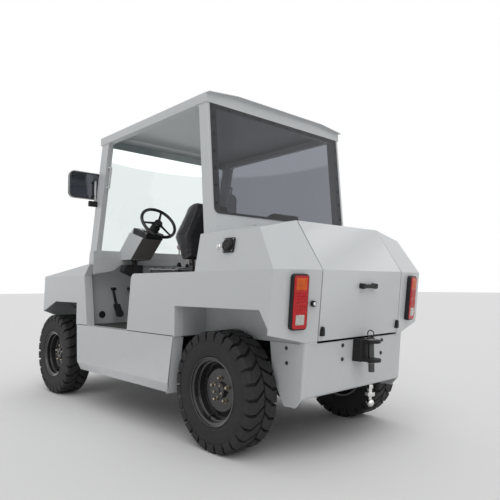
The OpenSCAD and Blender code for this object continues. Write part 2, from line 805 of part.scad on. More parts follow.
// Steering arm of a knuckle and the tie rod between the two arms
arm_l = 150;
arm_t = 24;
arm_w = 32;
rod_drop = 46;
rod_r = 14;
rod_pin_r = 9;
rod_pin_gap = 0.3;
rod_end_r = 21;
module knuckle() {
  color(black) difference() {
    union() {
      translate([wheelbase, kingpin_y, wheel_r]) cylinder(h = 2 * knuckle_half_h, r = 36, center = true);
      block(wheelbase - arm_l, wheelbase, kingpin_y - arm_w / 2, kingpin_y + arm_w / 2, wheel_r - arm_t / 2,
        wheel_r + arm_t / 2);
      translate([wheelbase - arm_l, kingpin_y, wheel_r]) cylinder(h = arm_t, r = rod_end_r, center = true);
      across(wheelbase, wheel_r, kingpin_y + 20, tyre_mid + spindle_out, spindle_r);
      across(wheelbase, wheel_r, kingpin_y + 30, hub_in_y, 55);
    }
    translate([wheelbase, kingpin_y, wheel_r])
      cylinder(h = 3 * knuckle_half_h, r = kingpin_r + pin_gap, center = true);
    translate([wheelbase - arm_l, kingpin_y, wheel_r])
      cylinder(h = 2 * arm_t, r = rod_pin_r + rod_pin_gap, center = true);
  }
}

module tie_rod() {
  color(black) {
    across(wheelbase - arm_l, wheel_r - rod_drop, -kingpin_y, kingpin_y, rod_r);
    for (s = [-1, 1]) translate([wheelbase - arm_l, s * kingpin_y, wheel_r]) {
      translate([0, 0, -rod_drop - 18]) cylinder(h = 36, r = rod_end_r);
      translate([0, 0, -rod_drop]) cylinder(h = rod_drop + arm_t / 2 + 6, r = rod_pin_r);
    }
  }
}
module knuckle_left() { knuckle(); }
module knuckle_right() { mirror([0, 1, 0]) knuckle(); }

// Wheels, modelled about their own centre with the outer side at +y

// Share of the pitch that a notch between two lugs takes up at its top and at its foot
notch_top = 0.30;
notch_foot = 0.18;
// Half the width of the closed band between the two rows of notches
tread_band = 26;
// Room between the rim's band and the flats of the tyre's bore
rim_room = 0.3;

// Flat-sided ring of points that starts at the top
function flats(r, n) = [for (i = [0:n - 1]) [r * sin(i * 360 / n), r * cos(i * 360 / n)]];

module flat_drum(r, n, half) {
  rotate([90, 0, 0]) translate([0, 0, -half]) linear_extrude(height = 2 * half) polygon(flats(r, n));
}

// One row of notches round a tyre, turned by a share of the pitch
module notches(y0, y1, turn) {
  pitch = 360 / lug_n;
  foot_r = wheel_r - lug_h - 3;
  foot = foot_r * sin(notch_foot * pitch / 2);
  top = wheel_r * sin(notch_top * pitch / 2);
  translate([0, y1, 0]) rotate([90, 0, 0]) linear_extrude(height = y1 - y0) for (i = [0:lug_n - 1])
    rotate([0, 0, (i + turn) * pitch])
      polygon([[-foot, foot_r], [foot, foot_r], [top, wheel_r + 3], [-top, wheel_r + 3]]);
}

module tyre() {
  half = tyre_w / 2;
  color(rubber) difference() {
    hull() {
      flat_drum(wheel_r, lug_n, half - lug_h);
      flat_drum(wheel_r - lug_h, lug_n, half);
    }
    flat_drum((rim_d / 2 + rim_room) / cos(180 / lug_n), lug_n, half + 1);
    notches(-half - 1, -tread_band, 0.5);
    notches(tread_band, half + 1, 0);
  }
}

module rim() {
  half = tyre_w / 2;
  flange_r = rim_d / 2;
  seat_r = flange_r - 14;
  band = half - 7;
  hub_y = 10;
  color(dark) difference() {
    union() {
      rotate([90, 0, 0]) mirror([0, 0, 1]) rotate_extrude($fn = 96) polygon([
        [flange_r, -band], [flange_r - 14, -band], [seat_r - 12, -band + 18],
        [seat_r - 12, -10], [150, -6], [110, hub_y], [spindle_r + pin_gap, hub_y],
        [spindle_r + pin_gap, hub_y + 16], [116, hub_y + 16], [156, 10], [seat_r - 22, 6],
        [seat_r - 20, band - 45], [seat_r - 8, band - 35], [seat_r - 8, band - 13], [flange_r - 14, band - 4],
        [flange_r - 4, band], [flange_r, band]]);
      for (i = [0:nut_n - 1]) rotate([0, 90 + i * 360 / nut_n, 0])
        translate([nut_circle_d / 2, hub_y + 15, 0]) rotate([-90, 0, 0]) cylinder(h = 24, r = 14, $fn = 6);
      translate([0, hub_y + 15, 0]) rotate([-90, 0, 0]) cylinder(h = 34, r = 44);
    }
    rotate([90, 0, 0]) cylinder(h = 2 * spindle_out + 10, r = spindle_r + pin_gap, center = true);
  }
}

module at_wheel(x) { translate([x, tyre_mid, wheel_r]) children(); }
module tyre_rear_left() { at_wheel(0) tyre(); }
module tyre_rear_right() { mirror([0, 1, 0]) at_wheel(0) tyre(); }
module tyre_front_left() { at_wheel(wheelbase) tyre(); }
module tyre_front_right() { mirror([0, 1, 0]) at_wheel(wheelbase) tyre(); }
module rim_rear_left() { at_wheel(0) rim(); }
module rim_rear_right() { mirror([0, 1, 0]) at_wheel(0) rim(); }
module rim_front_left() { at_wheel(wheelbase) rim(); }
module rim_front_right() { mirror([0, 1, 0]) at_wheel(wheelbase) rim(); }

// Seats and controls

seat_front_x = 900;
seat_back_x = 395;
seat_base_h = seat_h - 115;
base_front_x = seat_front_x - 30;
module seat_base() {
  color(dark) block(rear_arch_front + sheet_t + 4, base_front_x, -half_w + wall_t + 20,
    half_w - wall_t - 20, sill_h, seat_base_h);
}

soft_gap = 0.3;
cushion_back = 106;
// Height of the cushion's rounded front edge, and how far its top falls towards the back
cushion_lip = 34;
cushion_dip = 14;
module each_seat() { for (s = [-1, 1]) translate([seat_back_x, s * seat_y, seat_h]) children(); }

module seat_cushions() {
  low = seat_base_h + soft_gap - seat_h;
  front = seat_front_x - seat_back_x;
  color(seat_black) each_seat() side_prism(rounded([[cushion_back, low], [front, low],
    [front + 8, -cushion_lip], [front - cushion_lip, 0], [cushion_back, -cushion_dip]], 14, 3),
    -seat_w / 2, seat_w / 2);
}

// High backrests that lean back and narrow towards the head
back_h = 485;
shoulder_at = 200;
head_in = 70;
module seat_backs() {
  low = seat_base_h + soft_gap - seat_h;
  half = seat_w / 2;
  color(seat_black) each_seat() intersection() {
    side_prism(rounded([[0, low], [cushion_back - 1, low], [cushion_back - 1, 10], [cushion_back + 54, 42],
      [cushion_back + 62, shoulder_at + 15], [cushion_back + 4, back_h - 55], [cushion_back - 51, back_h],
      [-25, back_h], [-20, back_h - 85], [20, shoulder_at], [0, 40]], 12, 3), -half, half);
    front_prism(rounded([[-half, low - 20], [half, low - 20], [half, shoulder_at - 10],
      [half - head_in, back_h], [head_in - half, back_h], [-half, shoulder_at - 10]], 40, 3), -far, far);
  }
}

wheel_centre = [cab_front_low_x - 615, 395, scuttle_h + 211];
column_r = 30;
shroud_r = 38;
// Rear edge of the scuttle, and the underside of the instrument pod behind it
dash_x = cab_front_low_x - 192;
pod_low = scuttle_h - 73;
pod_half_w = 95;
// Ends of the pod's sloping top, from the scuttle's rear edge, and the way that the bezel stands up from it
pod_top = [-138, 152];
pod_tip = [-340, 92];
bezel = [-37, 35];
module along_column() { translate(wheel_centre) rotate([0, -column_angle, 0]) children(); }

module steering_column() {
  color(dark) {
    along_column() {
      translate([0, 0, -400]) cylinder(h = 375, r = column_r);
      translate([0, 0, -135]) cylinder(h = 90, r = shroud_r);
      translate([0, 0, -26]) cylinder(h = 26, r = 12);
    }
    translate([dash_x - 60, wheel_centre[1], sill_h]) cylinder(h = pod_low - sill_h, r = 22);
  }
}

module steering_wheel() {
  color(black) along_column() difference() {
    union() {
      rotate_extrude($fn = 96) translate([steer_d / 2 - 13, 0]) circle(r = 13, $fn = 24);
      translate([0, 0, -18]) cylinder(h = 30, r = 34);
      for (a = [90, 210, 330]) rotate([0, 0, a]) translate([20, -13, -8]) cube([steer_d / 2 - 33, 26, 10]);
    }
    translate([0, 0, -30]) cylinder(h = 30, r = 12 + pin_gap);
  }
}

// Instrument pod on the scuttle, with the instruments' bezel on top
module console() {
  color(paint) difference() {
    translate([dash_x, wheel_centre[1], scuttle_h]) {
      side_prism([[0, pod_low - scuttle_h], [0, 0], [30, 0], pod_top, pod_tip, [-155, pod_low - scuttle_h]],
        -pod_half_w, pod_half_w);
      side_prism([pod_top - [0, 1], pod_top + bezel, pod_tip + bezel, pod_tip - [0, 1]],
        -pod_half_w + 12, pod_half_w - 12);
    }
    along_column() translate([0, 0, -600]) cylinder(h = 700, r = column_r + soft_gap);
    along_column() translate([0, 0, -160]) cylinder(h = 200, r = shroud_r + soft_gap);
  }
}

// Foot plate and stalk of a pedal, from the bulkhead at x = 0
pedal_half_w = 32;
stalk_half_w = 9;
module pedal() {
  translate([0, 0, sill_h]) {
    side_prism([[-140, 65], [-128, 59], [-60, 165], [-72, 171]], -pedal_half_w, pedal_half_w);
    side_prism([[-85, 135], [-75, 129], [0, 285], [0, 309]], -stalk_half_w, stalk_half_w);
  }
}

// Pedals, and the box between the seats with the parking brake and direction levers
lever_x = base_front_x + 310;
lever_y = 98;
lever_box_h = seat_h + 35;
lever_box_half = 56;
module controls() {
  color(black) {
    for (y = [-100, 60]) translate([cowl_x, wheel_centre[1] + y, 0]) pedal();
    side_prism([[base_front_x, sill_h], [lever_x + 40, sill_h], [lever_x + 80, lever_box_h - 70],
      [lever_x + 50, lever_box_h], [base_front_x, lever_box_h - 60]],
      lever_y - lever_box_half, lever_y + lever_box_half);
    translate([lever_x, lever_y + 22, lever_box_h - 20]) {
      cylinder(h = 165, r = 7);
      translate([0, 0, 172]) sphere(r = 20);
    }
    translate([lever_x - 55, lever_y - 22, lever_box_h - 30]) {
      cylinder(h = 120, r = 9);
      translate([0, 0, 95]) cylinder(h = 70, r = 14);
    }
  }
}

mirror_x = cab_front_low_x - 78;
mirror_low = roof_low_h - 442;
mirror_high = mirror_low + 222;
mirror_in = 600;
mirror_out = 905;
// Thickness of a mirror's straight rim and of its rounded back, which narrows by mirror_taper all round
mirror_rim = 24;
mirror_dome = 38;
mirror_taper = 35;
arm_x = mirror_x - 24;
arm_r = 9;
arm_y = cab_half_w + 16;
module mirrors() {
  color(black) both() {
    hull() {
      front_prism(rounded(rect(mirror_in, mirror_low, mirror_out, mirror_high), 45),
        mirror_x, mirror_x + mirror_rim);
      front_prism(rounded(rect(mirror_in + mirror_taper, mirror_low + mirror_taper, mirror_out - mirror_taper,
        mirror_high - mirror_taper), 40), mirror_x + mirror_rim, mirror_x + mirror_rim + mirror_dome);
    }
    translate([arm_x, arm_y, mirror_low - 52]) cylinder(h = 205, r = arm_r);
    for (z = [mirror_low + 20, mirror_low + 140])
      block(arm_x, mirror_x + 1, arm_y - arm_r + 1, arm_y + arm_r - 1, z, z + 14);
    block(arm_x - 16, arm_x + 14, cab_half_w, arm_y + arm_r + 2, mirror_low - 62, mirror_low - 16);
  }
}

// Lamps and fittings

module on_corner() {
  translate([-tail_back, hood_half_w, 0]) rotate([0, 0, -corner_angle]) children();
}

// Lies on a rear corner, where x is 0 at the crease and y runs outwards from the hood's edge
function corner_face_x(z) = tail_rake * (belt_h - z) / (belt_h - sill_h);
lamp_low = 734;
lamp_high = 1044;
lamp_in = 124;
lamp_out = 254;
lamp_d = 36;
lens_in = 9;
lens_t = 10;
// Heights between the lens's segments, as shares of the lamp's height
lamp_split = [0.05, 0.27, 0.50, 0.73, 0.95];
module lamp_block(d0, d1, y0, y1, z0, z1, r) {
  intersection() {
    side_prism([[corner_face_x(lamp_low) - d1, lamp_low], [corner_face_x(lamp_low) - d0, lamp_low],
      [corner_face_x(lamp_high) - d0, lamp_high], [corner_face_x(lamp_high) - d1, lamp_high]], 0, 400);
    front_prism(rounded(rect(y0, z0, y1, z1), r), -far, far);
  }
}
function lens_z(i) = lamp_low + lamp_split[i] * (lamp_high - lamp_low);
module tail_lamps() {
  color(lamp_red) both() on_corner() {
    lamp_block(0, lamp_d - lens_t, lamp_in, lamp_out, lamp_low, lamp_high, 24);
    for (i = [0:3]) lamp_block(lamp_d - lens_t - 2, lamp_d, lamp_in + lens_in, lamp_out - lens_in,
      lens_z(i), lens_z(i + 1) - 4, 6);
  }
}

// Round lamps with a rim and a slightly domed lens
headlamp_d = 86;
headlamp_rim = 12;
module headlamps() {
  r = headlamp_r;
  rim = headlamp_rim;
  color(lamp_clear) both() translate([nose_x - headlamp_d - 9, headlamp_y, headlamp_h]) rotate([0, 90, 0])
    rotate_extrude($fn = 64) polygon([[0, 0], [r, 0], [r, headlamp_d - 14], [r - 4, headlamp_d - 9],
      [r - rim, headlamp_d - 9], [r - rim - 2, headlamp_d - 14], [r / 2, headlamp_d - 4], [0, headlamp_d]]);
}

// Lies on the left shoulder at length x and height z, with z pointing out of the sheet
module on_shoulder(x, z) {
  lean = atan(shoulder_in / (shoulder_h - side_belt_h));
  translate([x, half_w - shoulder_in * (z - side_belt_h) / (shoulder_h - side_belt_h), z])
    rotate([lean - 90, 0, 0]) children();
}

socket_x = -172;
socket_half = 44;
module charge_socket() {
  color(black) on_shoulder(socket_x, belt_h + 145) {
    linear_extrude(height = 26)
      polygon(rounded(rect(-socket_half - 4, -socket_half, socket_half + 4, socket_half), 8));
    cylinder(h = 46, r = socket_half - 12);
  }
}

hitch_back_x = -602;
tow_pin_x = -633;
jaw_t = 20;
module hitch() {
  low = hitch_h - jaw_open / 2 - jaw_t;
  high = hitch_h + jaw_open / 2 + jaw_t;
  color(black) difference() {
    union() {
      side_prism([[bumper_x(low) - bumper_t, low], [bumper_x(high) - bumper_t, high], [hitch_back_x, high],
        [hitch_back_x, low]], -60, 60);
      for (z = [low, high - jaw_t]) {
        translate([-hitch_tip_x + 43, 0, z]) cylinder(h = jaw_t, r = 43);
        block(-hitch_tip_x + 43, hitch_back_x + 1, -43, 43, z, z + jaw_t);
      }
    }
    translate([tow_pin_x, 0, 0]) cylinder(h = far, r = tow_pin_r + pin_gap);
  }
}

// Ball that hangs from the rear end beam, under the bumper
ball_x = rail_back_x - 50;
ball_y = -190;
ball_h = 232;
ball_r = 25;
// Lower end of the towing pin, and the lower side of the clip's groove round it
pin_low = 464;
pin_groove = hitch_h - jaw_open / 2 - jaw_t - 5;
module hitch_pin() {
  top = hitch_h + jaw_open / 2 + jaw_t;
  color(steel) {
    translate([tow_pin_x, 0, pin_low]) rotate_extrude() polygon([[0, 0], [tow_pin_r - 3, 0], [tow_pin_r, 3],
      [tow_pin_r, pin_groove - pin_low], [tow_pin_r - 3, pin_groove - pin_low],
      [tow_pin_r - 3, pin_groove - pin_low + 4], [tow_pin_r, pin_groove - pin_low + 4],
      [tow_pin_r, top + 5 - pin_low], [0, top + 5 - pin_low]]);
    translate([tow_pin_x, 0, top]) cylinder(h = 12, r = tow_pin_r + 6);
    translate([tow_pin_x, 0, top + 30]) rotate([90, 0, 0]) rotate_extrude($fn = 48) translate([16, 0])
      circle(r = 3.5, $fn = 16);
    translate([ball_x, ball_y, ball_h]) {
      cylinder(h = rail_low - ball_h, r = 11);
      translate([0, 0, 92]) cylinder(h = 24, r = 25, $fn = 6);
      translate([0, 0, 44]) cylinder(h = 24, r = 31);
      translate([0, 0, 40]) cylinder(h = 60, r = 15);
      sphere(r = ball_r);
    }
  }
}

battery_front_x = 60;
battery_h = 440;
module battery_pack() {
  color(dark) block(rail_back_x - 10, battery_front_x, -rail_y1, rail_y1, rail_high, rail_high + battery_h);
}

place() chassis_frame();
place() rear_axle();
place() front_axle();
place() floor_plate();
place() side_skirts();
place() side_panel_left();
place() side_panel_right();
place() corner_panels();
place() arch_liners();
place() front_fenders();
place() nose_panel();
place() cowl();
place() cab_side_left();
place() cab_side_right();
place() cab_rear_frame();
place() roof_panel();
place() windscreen();
place() rear_window();
place() rear_bumper();
place() front_bumper();
place() seat_base();
place() seat_cushions();
place() seat_backs();
place() console();
place() steering_column();
place() steering_wheel();
place() controls();
place() mirrors();
place() tail_lamps();
place() headlamps();
place() rear_hood();
place() hood_fittings();
place() charge_socket();
place() hitch();
place() hitch_pin();
place() battery_pack();
place() knuckle_left();
place() knuckle_right();
place() tie_rod();
place() leaf_springs();
place() tyre_rear_left();
place() tyre_rear_right();
place() tyre_front_left();
place() tyre_front_right();
place() rim_rear_left();
place() rim_rear_right();
place() rim_front_left();
place() rim_front_right();
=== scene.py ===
import json
import math
import bpy
import bmesh
from mathutils import Matrix, Vector
from mathutils.bvhtree import BVHTree

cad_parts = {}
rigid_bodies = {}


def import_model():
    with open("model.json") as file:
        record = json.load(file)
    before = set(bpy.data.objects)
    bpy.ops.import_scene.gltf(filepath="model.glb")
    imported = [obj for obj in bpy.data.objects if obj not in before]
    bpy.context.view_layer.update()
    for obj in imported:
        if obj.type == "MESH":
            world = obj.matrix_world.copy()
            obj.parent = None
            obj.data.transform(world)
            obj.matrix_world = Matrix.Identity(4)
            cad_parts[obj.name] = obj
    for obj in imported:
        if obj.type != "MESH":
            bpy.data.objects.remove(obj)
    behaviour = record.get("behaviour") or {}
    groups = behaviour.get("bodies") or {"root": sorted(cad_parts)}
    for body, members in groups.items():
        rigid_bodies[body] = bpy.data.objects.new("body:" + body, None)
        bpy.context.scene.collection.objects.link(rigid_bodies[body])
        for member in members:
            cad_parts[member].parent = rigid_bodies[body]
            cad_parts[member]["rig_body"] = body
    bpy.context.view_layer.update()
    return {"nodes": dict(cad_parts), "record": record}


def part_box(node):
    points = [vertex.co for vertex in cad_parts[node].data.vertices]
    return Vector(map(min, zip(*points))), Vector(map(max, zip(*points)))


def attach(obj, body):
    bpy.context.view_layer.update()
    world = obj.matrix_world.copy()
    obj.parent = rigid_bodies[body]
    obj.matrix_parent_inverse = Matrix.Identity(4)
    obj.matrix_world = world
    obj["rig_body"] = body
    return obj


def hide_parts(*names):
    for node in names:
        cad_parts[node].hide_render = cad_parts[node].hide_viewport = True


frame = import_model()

scene = bpy.context.scene

# Lengthwise places are written from the rear axle, as on the drawing, and at() moves them into the frame
tyreLow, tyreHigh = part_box("tyre_rear_left")
rearAxleX = (tyreLow.x + tyreHigh.x) / 2
forwards, backwards = (1, 0, 0), (-1, 0, 0)
leftwards, rightwards = (0, 1, 0), (0, -1, 0)
upwards = (0, 0, 1)


def at(x, y, z):
    return Vector((rearAxleX + x, y, z))


def stageDone(text):
    print("scene:", text, flush=True)


# Camera

cameraView = {
    "place": (-2.389, 2.623, 0.983),
    "yaw": -42.98,
    "pitch": 3.93,
    "roll": -0.15,
    "focal": 508.6,  # in pixels of the frame
    "frame": 500,
    "sensor": 36,
    "farthest": 200,
}


def makeCamera(view):
    yaw, pitch, roll = (math.radians(view[key]) for key in ("yaw", "pitch", "roll"))
    forward = Vector((math.cos(yaw) * math.cos(pitch), math.sin(yaw) * math.cos(pitch), math.sin(pitch)))
    right = Vector((math.sin(yaw), -math.cos(yaw), 0))
    up = right.cross(forward)
    right, up = math.cos(roll) * right + math.sin(roll) * up, math.cos(roll) * up - math.sin(roll) * right
    data = bpy.data.cameras.new("photoCamera")
    data.sensor_width = view["sensor"]
    data.lens = view["sensor"] * view["focal"] / view["frame"]
    data.clip_end = view["farthest"]
    camera = bpy.data.objects.new("photoCamera", data)
    turn = Matrix((right, up, -forward)).transposed()
    camera.matrix_world = Matrix.Translation(at(*view["place"])) @ turn.to_4x4()
    scene.collection.objects.link(camera)
    scene.camera = camera


makeCamera(cameraView)

# Shader node groups

# Where a pair is called ends, the pattern rises from 0 at the first value to 1 at the second
patternLook = {
    "mottleEnds": (0.32, 0.68),
    "patchScale": 9.0,
    "patchEnds": (0.3, 0.72),
    "patchShare": 0.75,
    "speckScale": 130.0,
    "speckEnds": (0.52, 0.7),
    "speckShare": 0.5,
    "edgeEnds": (0.995, 0.93),  # of the product of the true and the rounded normal
    "edgeSamples": 4,
    "chipScale": 45.0,
    "chipEnds": (0.45, 0.62),
    "cellSmoothness": 0.6,
    "fineShare": 0.6,  # of the grain's scale
}


# A group of numbers with one output
def newGroup(name, inputs, output):
    group = bpy.data.node_groups.new(name, "ShaderNodeTree")
    for label, value in inputs.items():
        socket = group.interface.new_socket(name=label, in_out="INPUT", socket_type="NodeSocketFloat")
        socket.default_value = value
    group.interface.new_socket(name=output, in_out="OUTPUT", socket_type="NodeSocketFloat")
    start = group.nodes.new("NodeGroupInput")
    end = group.nodes.new("NodeGroupOutput")
    return group, start.outputs, end.inputs[output]


def addNode(tree, kind, settings=None, **links):
    node = tree.nodes.new(kind)
    for key, value in (settings or {}).items():
        if key in node.inputs:
            node.inputs[key].default_value = value
        else:
            setattr(node, key, value)
    for key, socket in links.items():
        tree.links.new(socket, node.inputs[key])
    return node


def objectCoords(tree):
    return addNode(tree, "ShaderNodeTexCoord").outputs["Object"]


# Sets an input to a number or links it to another node's output
def feed(tree, socket, value):
    if isinstance(value, (int, float)):
        socket.default_value = value
    else:
        tree.links.new(value, socket)


def mathNode(tree, operation, *values, clamp=False):
    node = addNode(tree, "ShaderNodeMath", {"operation": operation, "use_clamp": clamp})
    for socket, value in zip(node.inputs, values):
        feed(tree, socket, value)
    return node.outputs[0]


def noiseNode(tree, vector, scale, detail=3.0, roughness=0.5):
    node = addNode(tree, "ShaderNodeTexNoise", Vector=vector)
    for key, value in (("Scale", scale), ("Detail", detail), ("Roughness", roughness)):
        feed(tree, node.inputs[key], value)
    return node.outputs["Fac"]


def rampNode(tree, value, low, high):
    node = addNode(tree, "ShaderNodeMapRange", {"clamp": True}, Value=value)
    feed(tree, node.inputs["From Min"], low)
    feed(tree, node.inputs["From Max"], high)
    return node.outputs["Result"]


def makeMottleGroup(look):
    group, start, end = newGroup("mottle", {"Scale": 6.0, "Detail": 4.0}, "Mask")
    coarse = noiseNode(group, objectCoords(group), start["Scale"], start["Detail"])
    group.links.new(rampNode(group, coarse, *look["mottleEnds"]), end)
    return group


def makeGrimeGroup(look):
    group, start, end = newGroup("grime", {"Low": 0.25, "High": 0.7, "Amount": 0.5}, "Mask")
    coords = objectCoords(group)
    split = addNode(group, "ShaderNodeSeparateXYZ", Vector=coords)
    height = rampNode(group, split.outputs["Z"], start["High"], start["Low"])
    patches = rampNode(group, noiseNode(group, coords, look["patchScale"], 6.0, 0.62), *look["patchEnds"])
    specks = rampNode(group, noiseNode(group, coords, look["speckScale"], 2.0, 0.7), *look["speckEnds"])
    patches = mathNode(group, "MULTIPLY", patches, look["patchShare"])
    specks = mathNode(group, "MULTIPLY", specks, look["speckShare"])
    both = mathNode(group, "MULTIPLY", mathNode(group, "ADD", patches, specks), height)
    group.links.new(mathNode(group, "MULTIPLY", both, start["Amount"], clamp=True), end)
    return group


def makeWearGroup(look):
    group, start, end = newGroup("edgeWear", {"Radius": 0.004, "Amount": 0.5}, "Mask")
    bevel = addNode(group, "ShaderNodeBevel", {"samples": look["edgeSamples"]}, Radius=start["Radius"])
    normal = addNode(group, "ShaderNodeNewGeometry").outputs["Normal"]
    dot = addNode(group, "ShaderNodeVectorMath", {"operation": "DOT_PRODUCT"})
    group.links.new(bevel.outputs["Normal"], dot.inputs[0])
    group.links.new(normal, dot.inputs[1])
    edge = rampNode(group, dot.outputs["Value"], *look["edgeEnds"])
    noise = noiseNode(group, objectCoords(group), look["chipScale"], 5.0, 0.65)
    both = mathNode(group, "MULTIPLY", edge, rampNode(group, noise, *look["chipEnds"]))
    group.links.new(mathNode(group, "MULTIPLY", both, start["Amount"], clamp=True), end)
    return group


def makeGrainGroup(look):
    group, start, end = newGroup("grain", {"Scale": 300.0, "Softness": 0.5}, "Height")
    coords = objectCoords(group)
    cellSettings = {"feature": "SMOOTH_F1", "Smoothness": look["cellSmoothness"]}
    cells = addNode(group, "ShaderNodeTexVoronoi", cellSettings, Vector=coords, Scale=start["Scale"])
    fine = noiseNode(group, coords, mathNode(group, "MULTIPLY", start["Scale"], look["fineShare"]))
    soft = mathNode(group, "MULTIPLY", fine, start["Softness"])
    group.links.new(mathNode(group, "ADD", cells.outputs["Distance"], soft), end)
    return group


groups = {
    "mottle": makeMottleGroup(patternLook),
    "grime": makeGrimeGroup(patternLook),
    "wear": makeWearGroup(patternLook),
    "grain": makeGrainGroup(patternLook),
}


def useGroup(tree, name, values):
    node = addNode(tree, "ShaderNodeGroup", {"node_tree": groups[name]})
    for key, value in values.items():
        node.inputs[key].default_value = value
    return node.outputs[0]


colourInputs, colourOutput = (6, 7), 2  # the Mix node's own sockets for colours


def mixColour(tree, factor, first, second):
    node = addNode(tree, "ShaderNodeMix", {"data_type": "RGBA"})
    tree.links.new(factor, node.inputs["Factor"])
    for slot, value in zip(colourInputs, (first, second)):
        if isinstance(value, tuple):
            node.inputs[slot].default_value = (*value, 1)
        else:
            tree.links.new(value, node.inputs[slot])
    return node.outputs[colourOutput]


# What a finish has where its own entry says nothing
plainLook = {
    "metallic": 0.0,
    "mottleScale": 5.0,
    "mottleShade": 0.94,  # darkest share of the colour
    "roughVary": 0.08,
    "grimeRough": 0.4,
    "bump": 0.5,
}
shaderInputs = {
    "metallic": "Metallic",
    "ior": "IOR",
    "coat": "Coat Weight",
    "coatRough": "Coat Roughness",
    "transmission": "Transmission Weight",
    "sheen": "Sheen Weight",
    "specular": "Specular IOR Level",
}


def makeMaterial(name, ownLook):
    look = {**plainLook, **ownLook}
    material = bpy.data.materials.new(name)
    material.use_nodes = True
    tree = material.node_tree
    shader = tree.nodes["Principled BSDF"]
    for key, socket in shaderInputs.items():
        if key in look:
            shader.inputs[socket].default_value = look[key]
    mottle = useGroup(tree, "mottle", {"Scale": look["mottleScale"]})
    shade = tuple(part * look["mottleShade"] for part in look["colour"])
    colour = mixColour(tree, mottle, shade, look["colour"])
    rough = mathNode(tree, "MULTIPLY_ADD", mottle, look["roughVary"], look["rough"])
    if "grime" in look:
        low, high, amount, dirt = look["grime"]
        mask = useGroup(tree, "grime", {"Low": low, "High": high, "Amount": amount})
        colour = mixColour(tree, mask, colour, dirt)
        rough = mathNode(tree, "MULTIPLY_ADD", mask, look["grimeRough"], rough, clamp=True)
    if "wear" in look:
        radius, amount, bare = look["wear"]
        mask = useGroup(tree, "wear", {"Radius": radius, "Amount": amount})
        colour = mixColour(tree, mask, colour, bare)
    tree.links.new(colour, shader.inputs["Base Color"])
    tree.links.new(rough, shader.inputs["Roughness"])
    if "grain" in look:
        scale, depth = look["grain"]
        height = useGroup(tree, "grain", {"Scale": scale})
        bump = addNode(tree, "ShaderNodeBump", {"Distance": depth, "Strength": look["bump"]}, Height=height)
        tree.links.new(bump.outputs["Normal"], shader.inputs["Normal"])
    return material


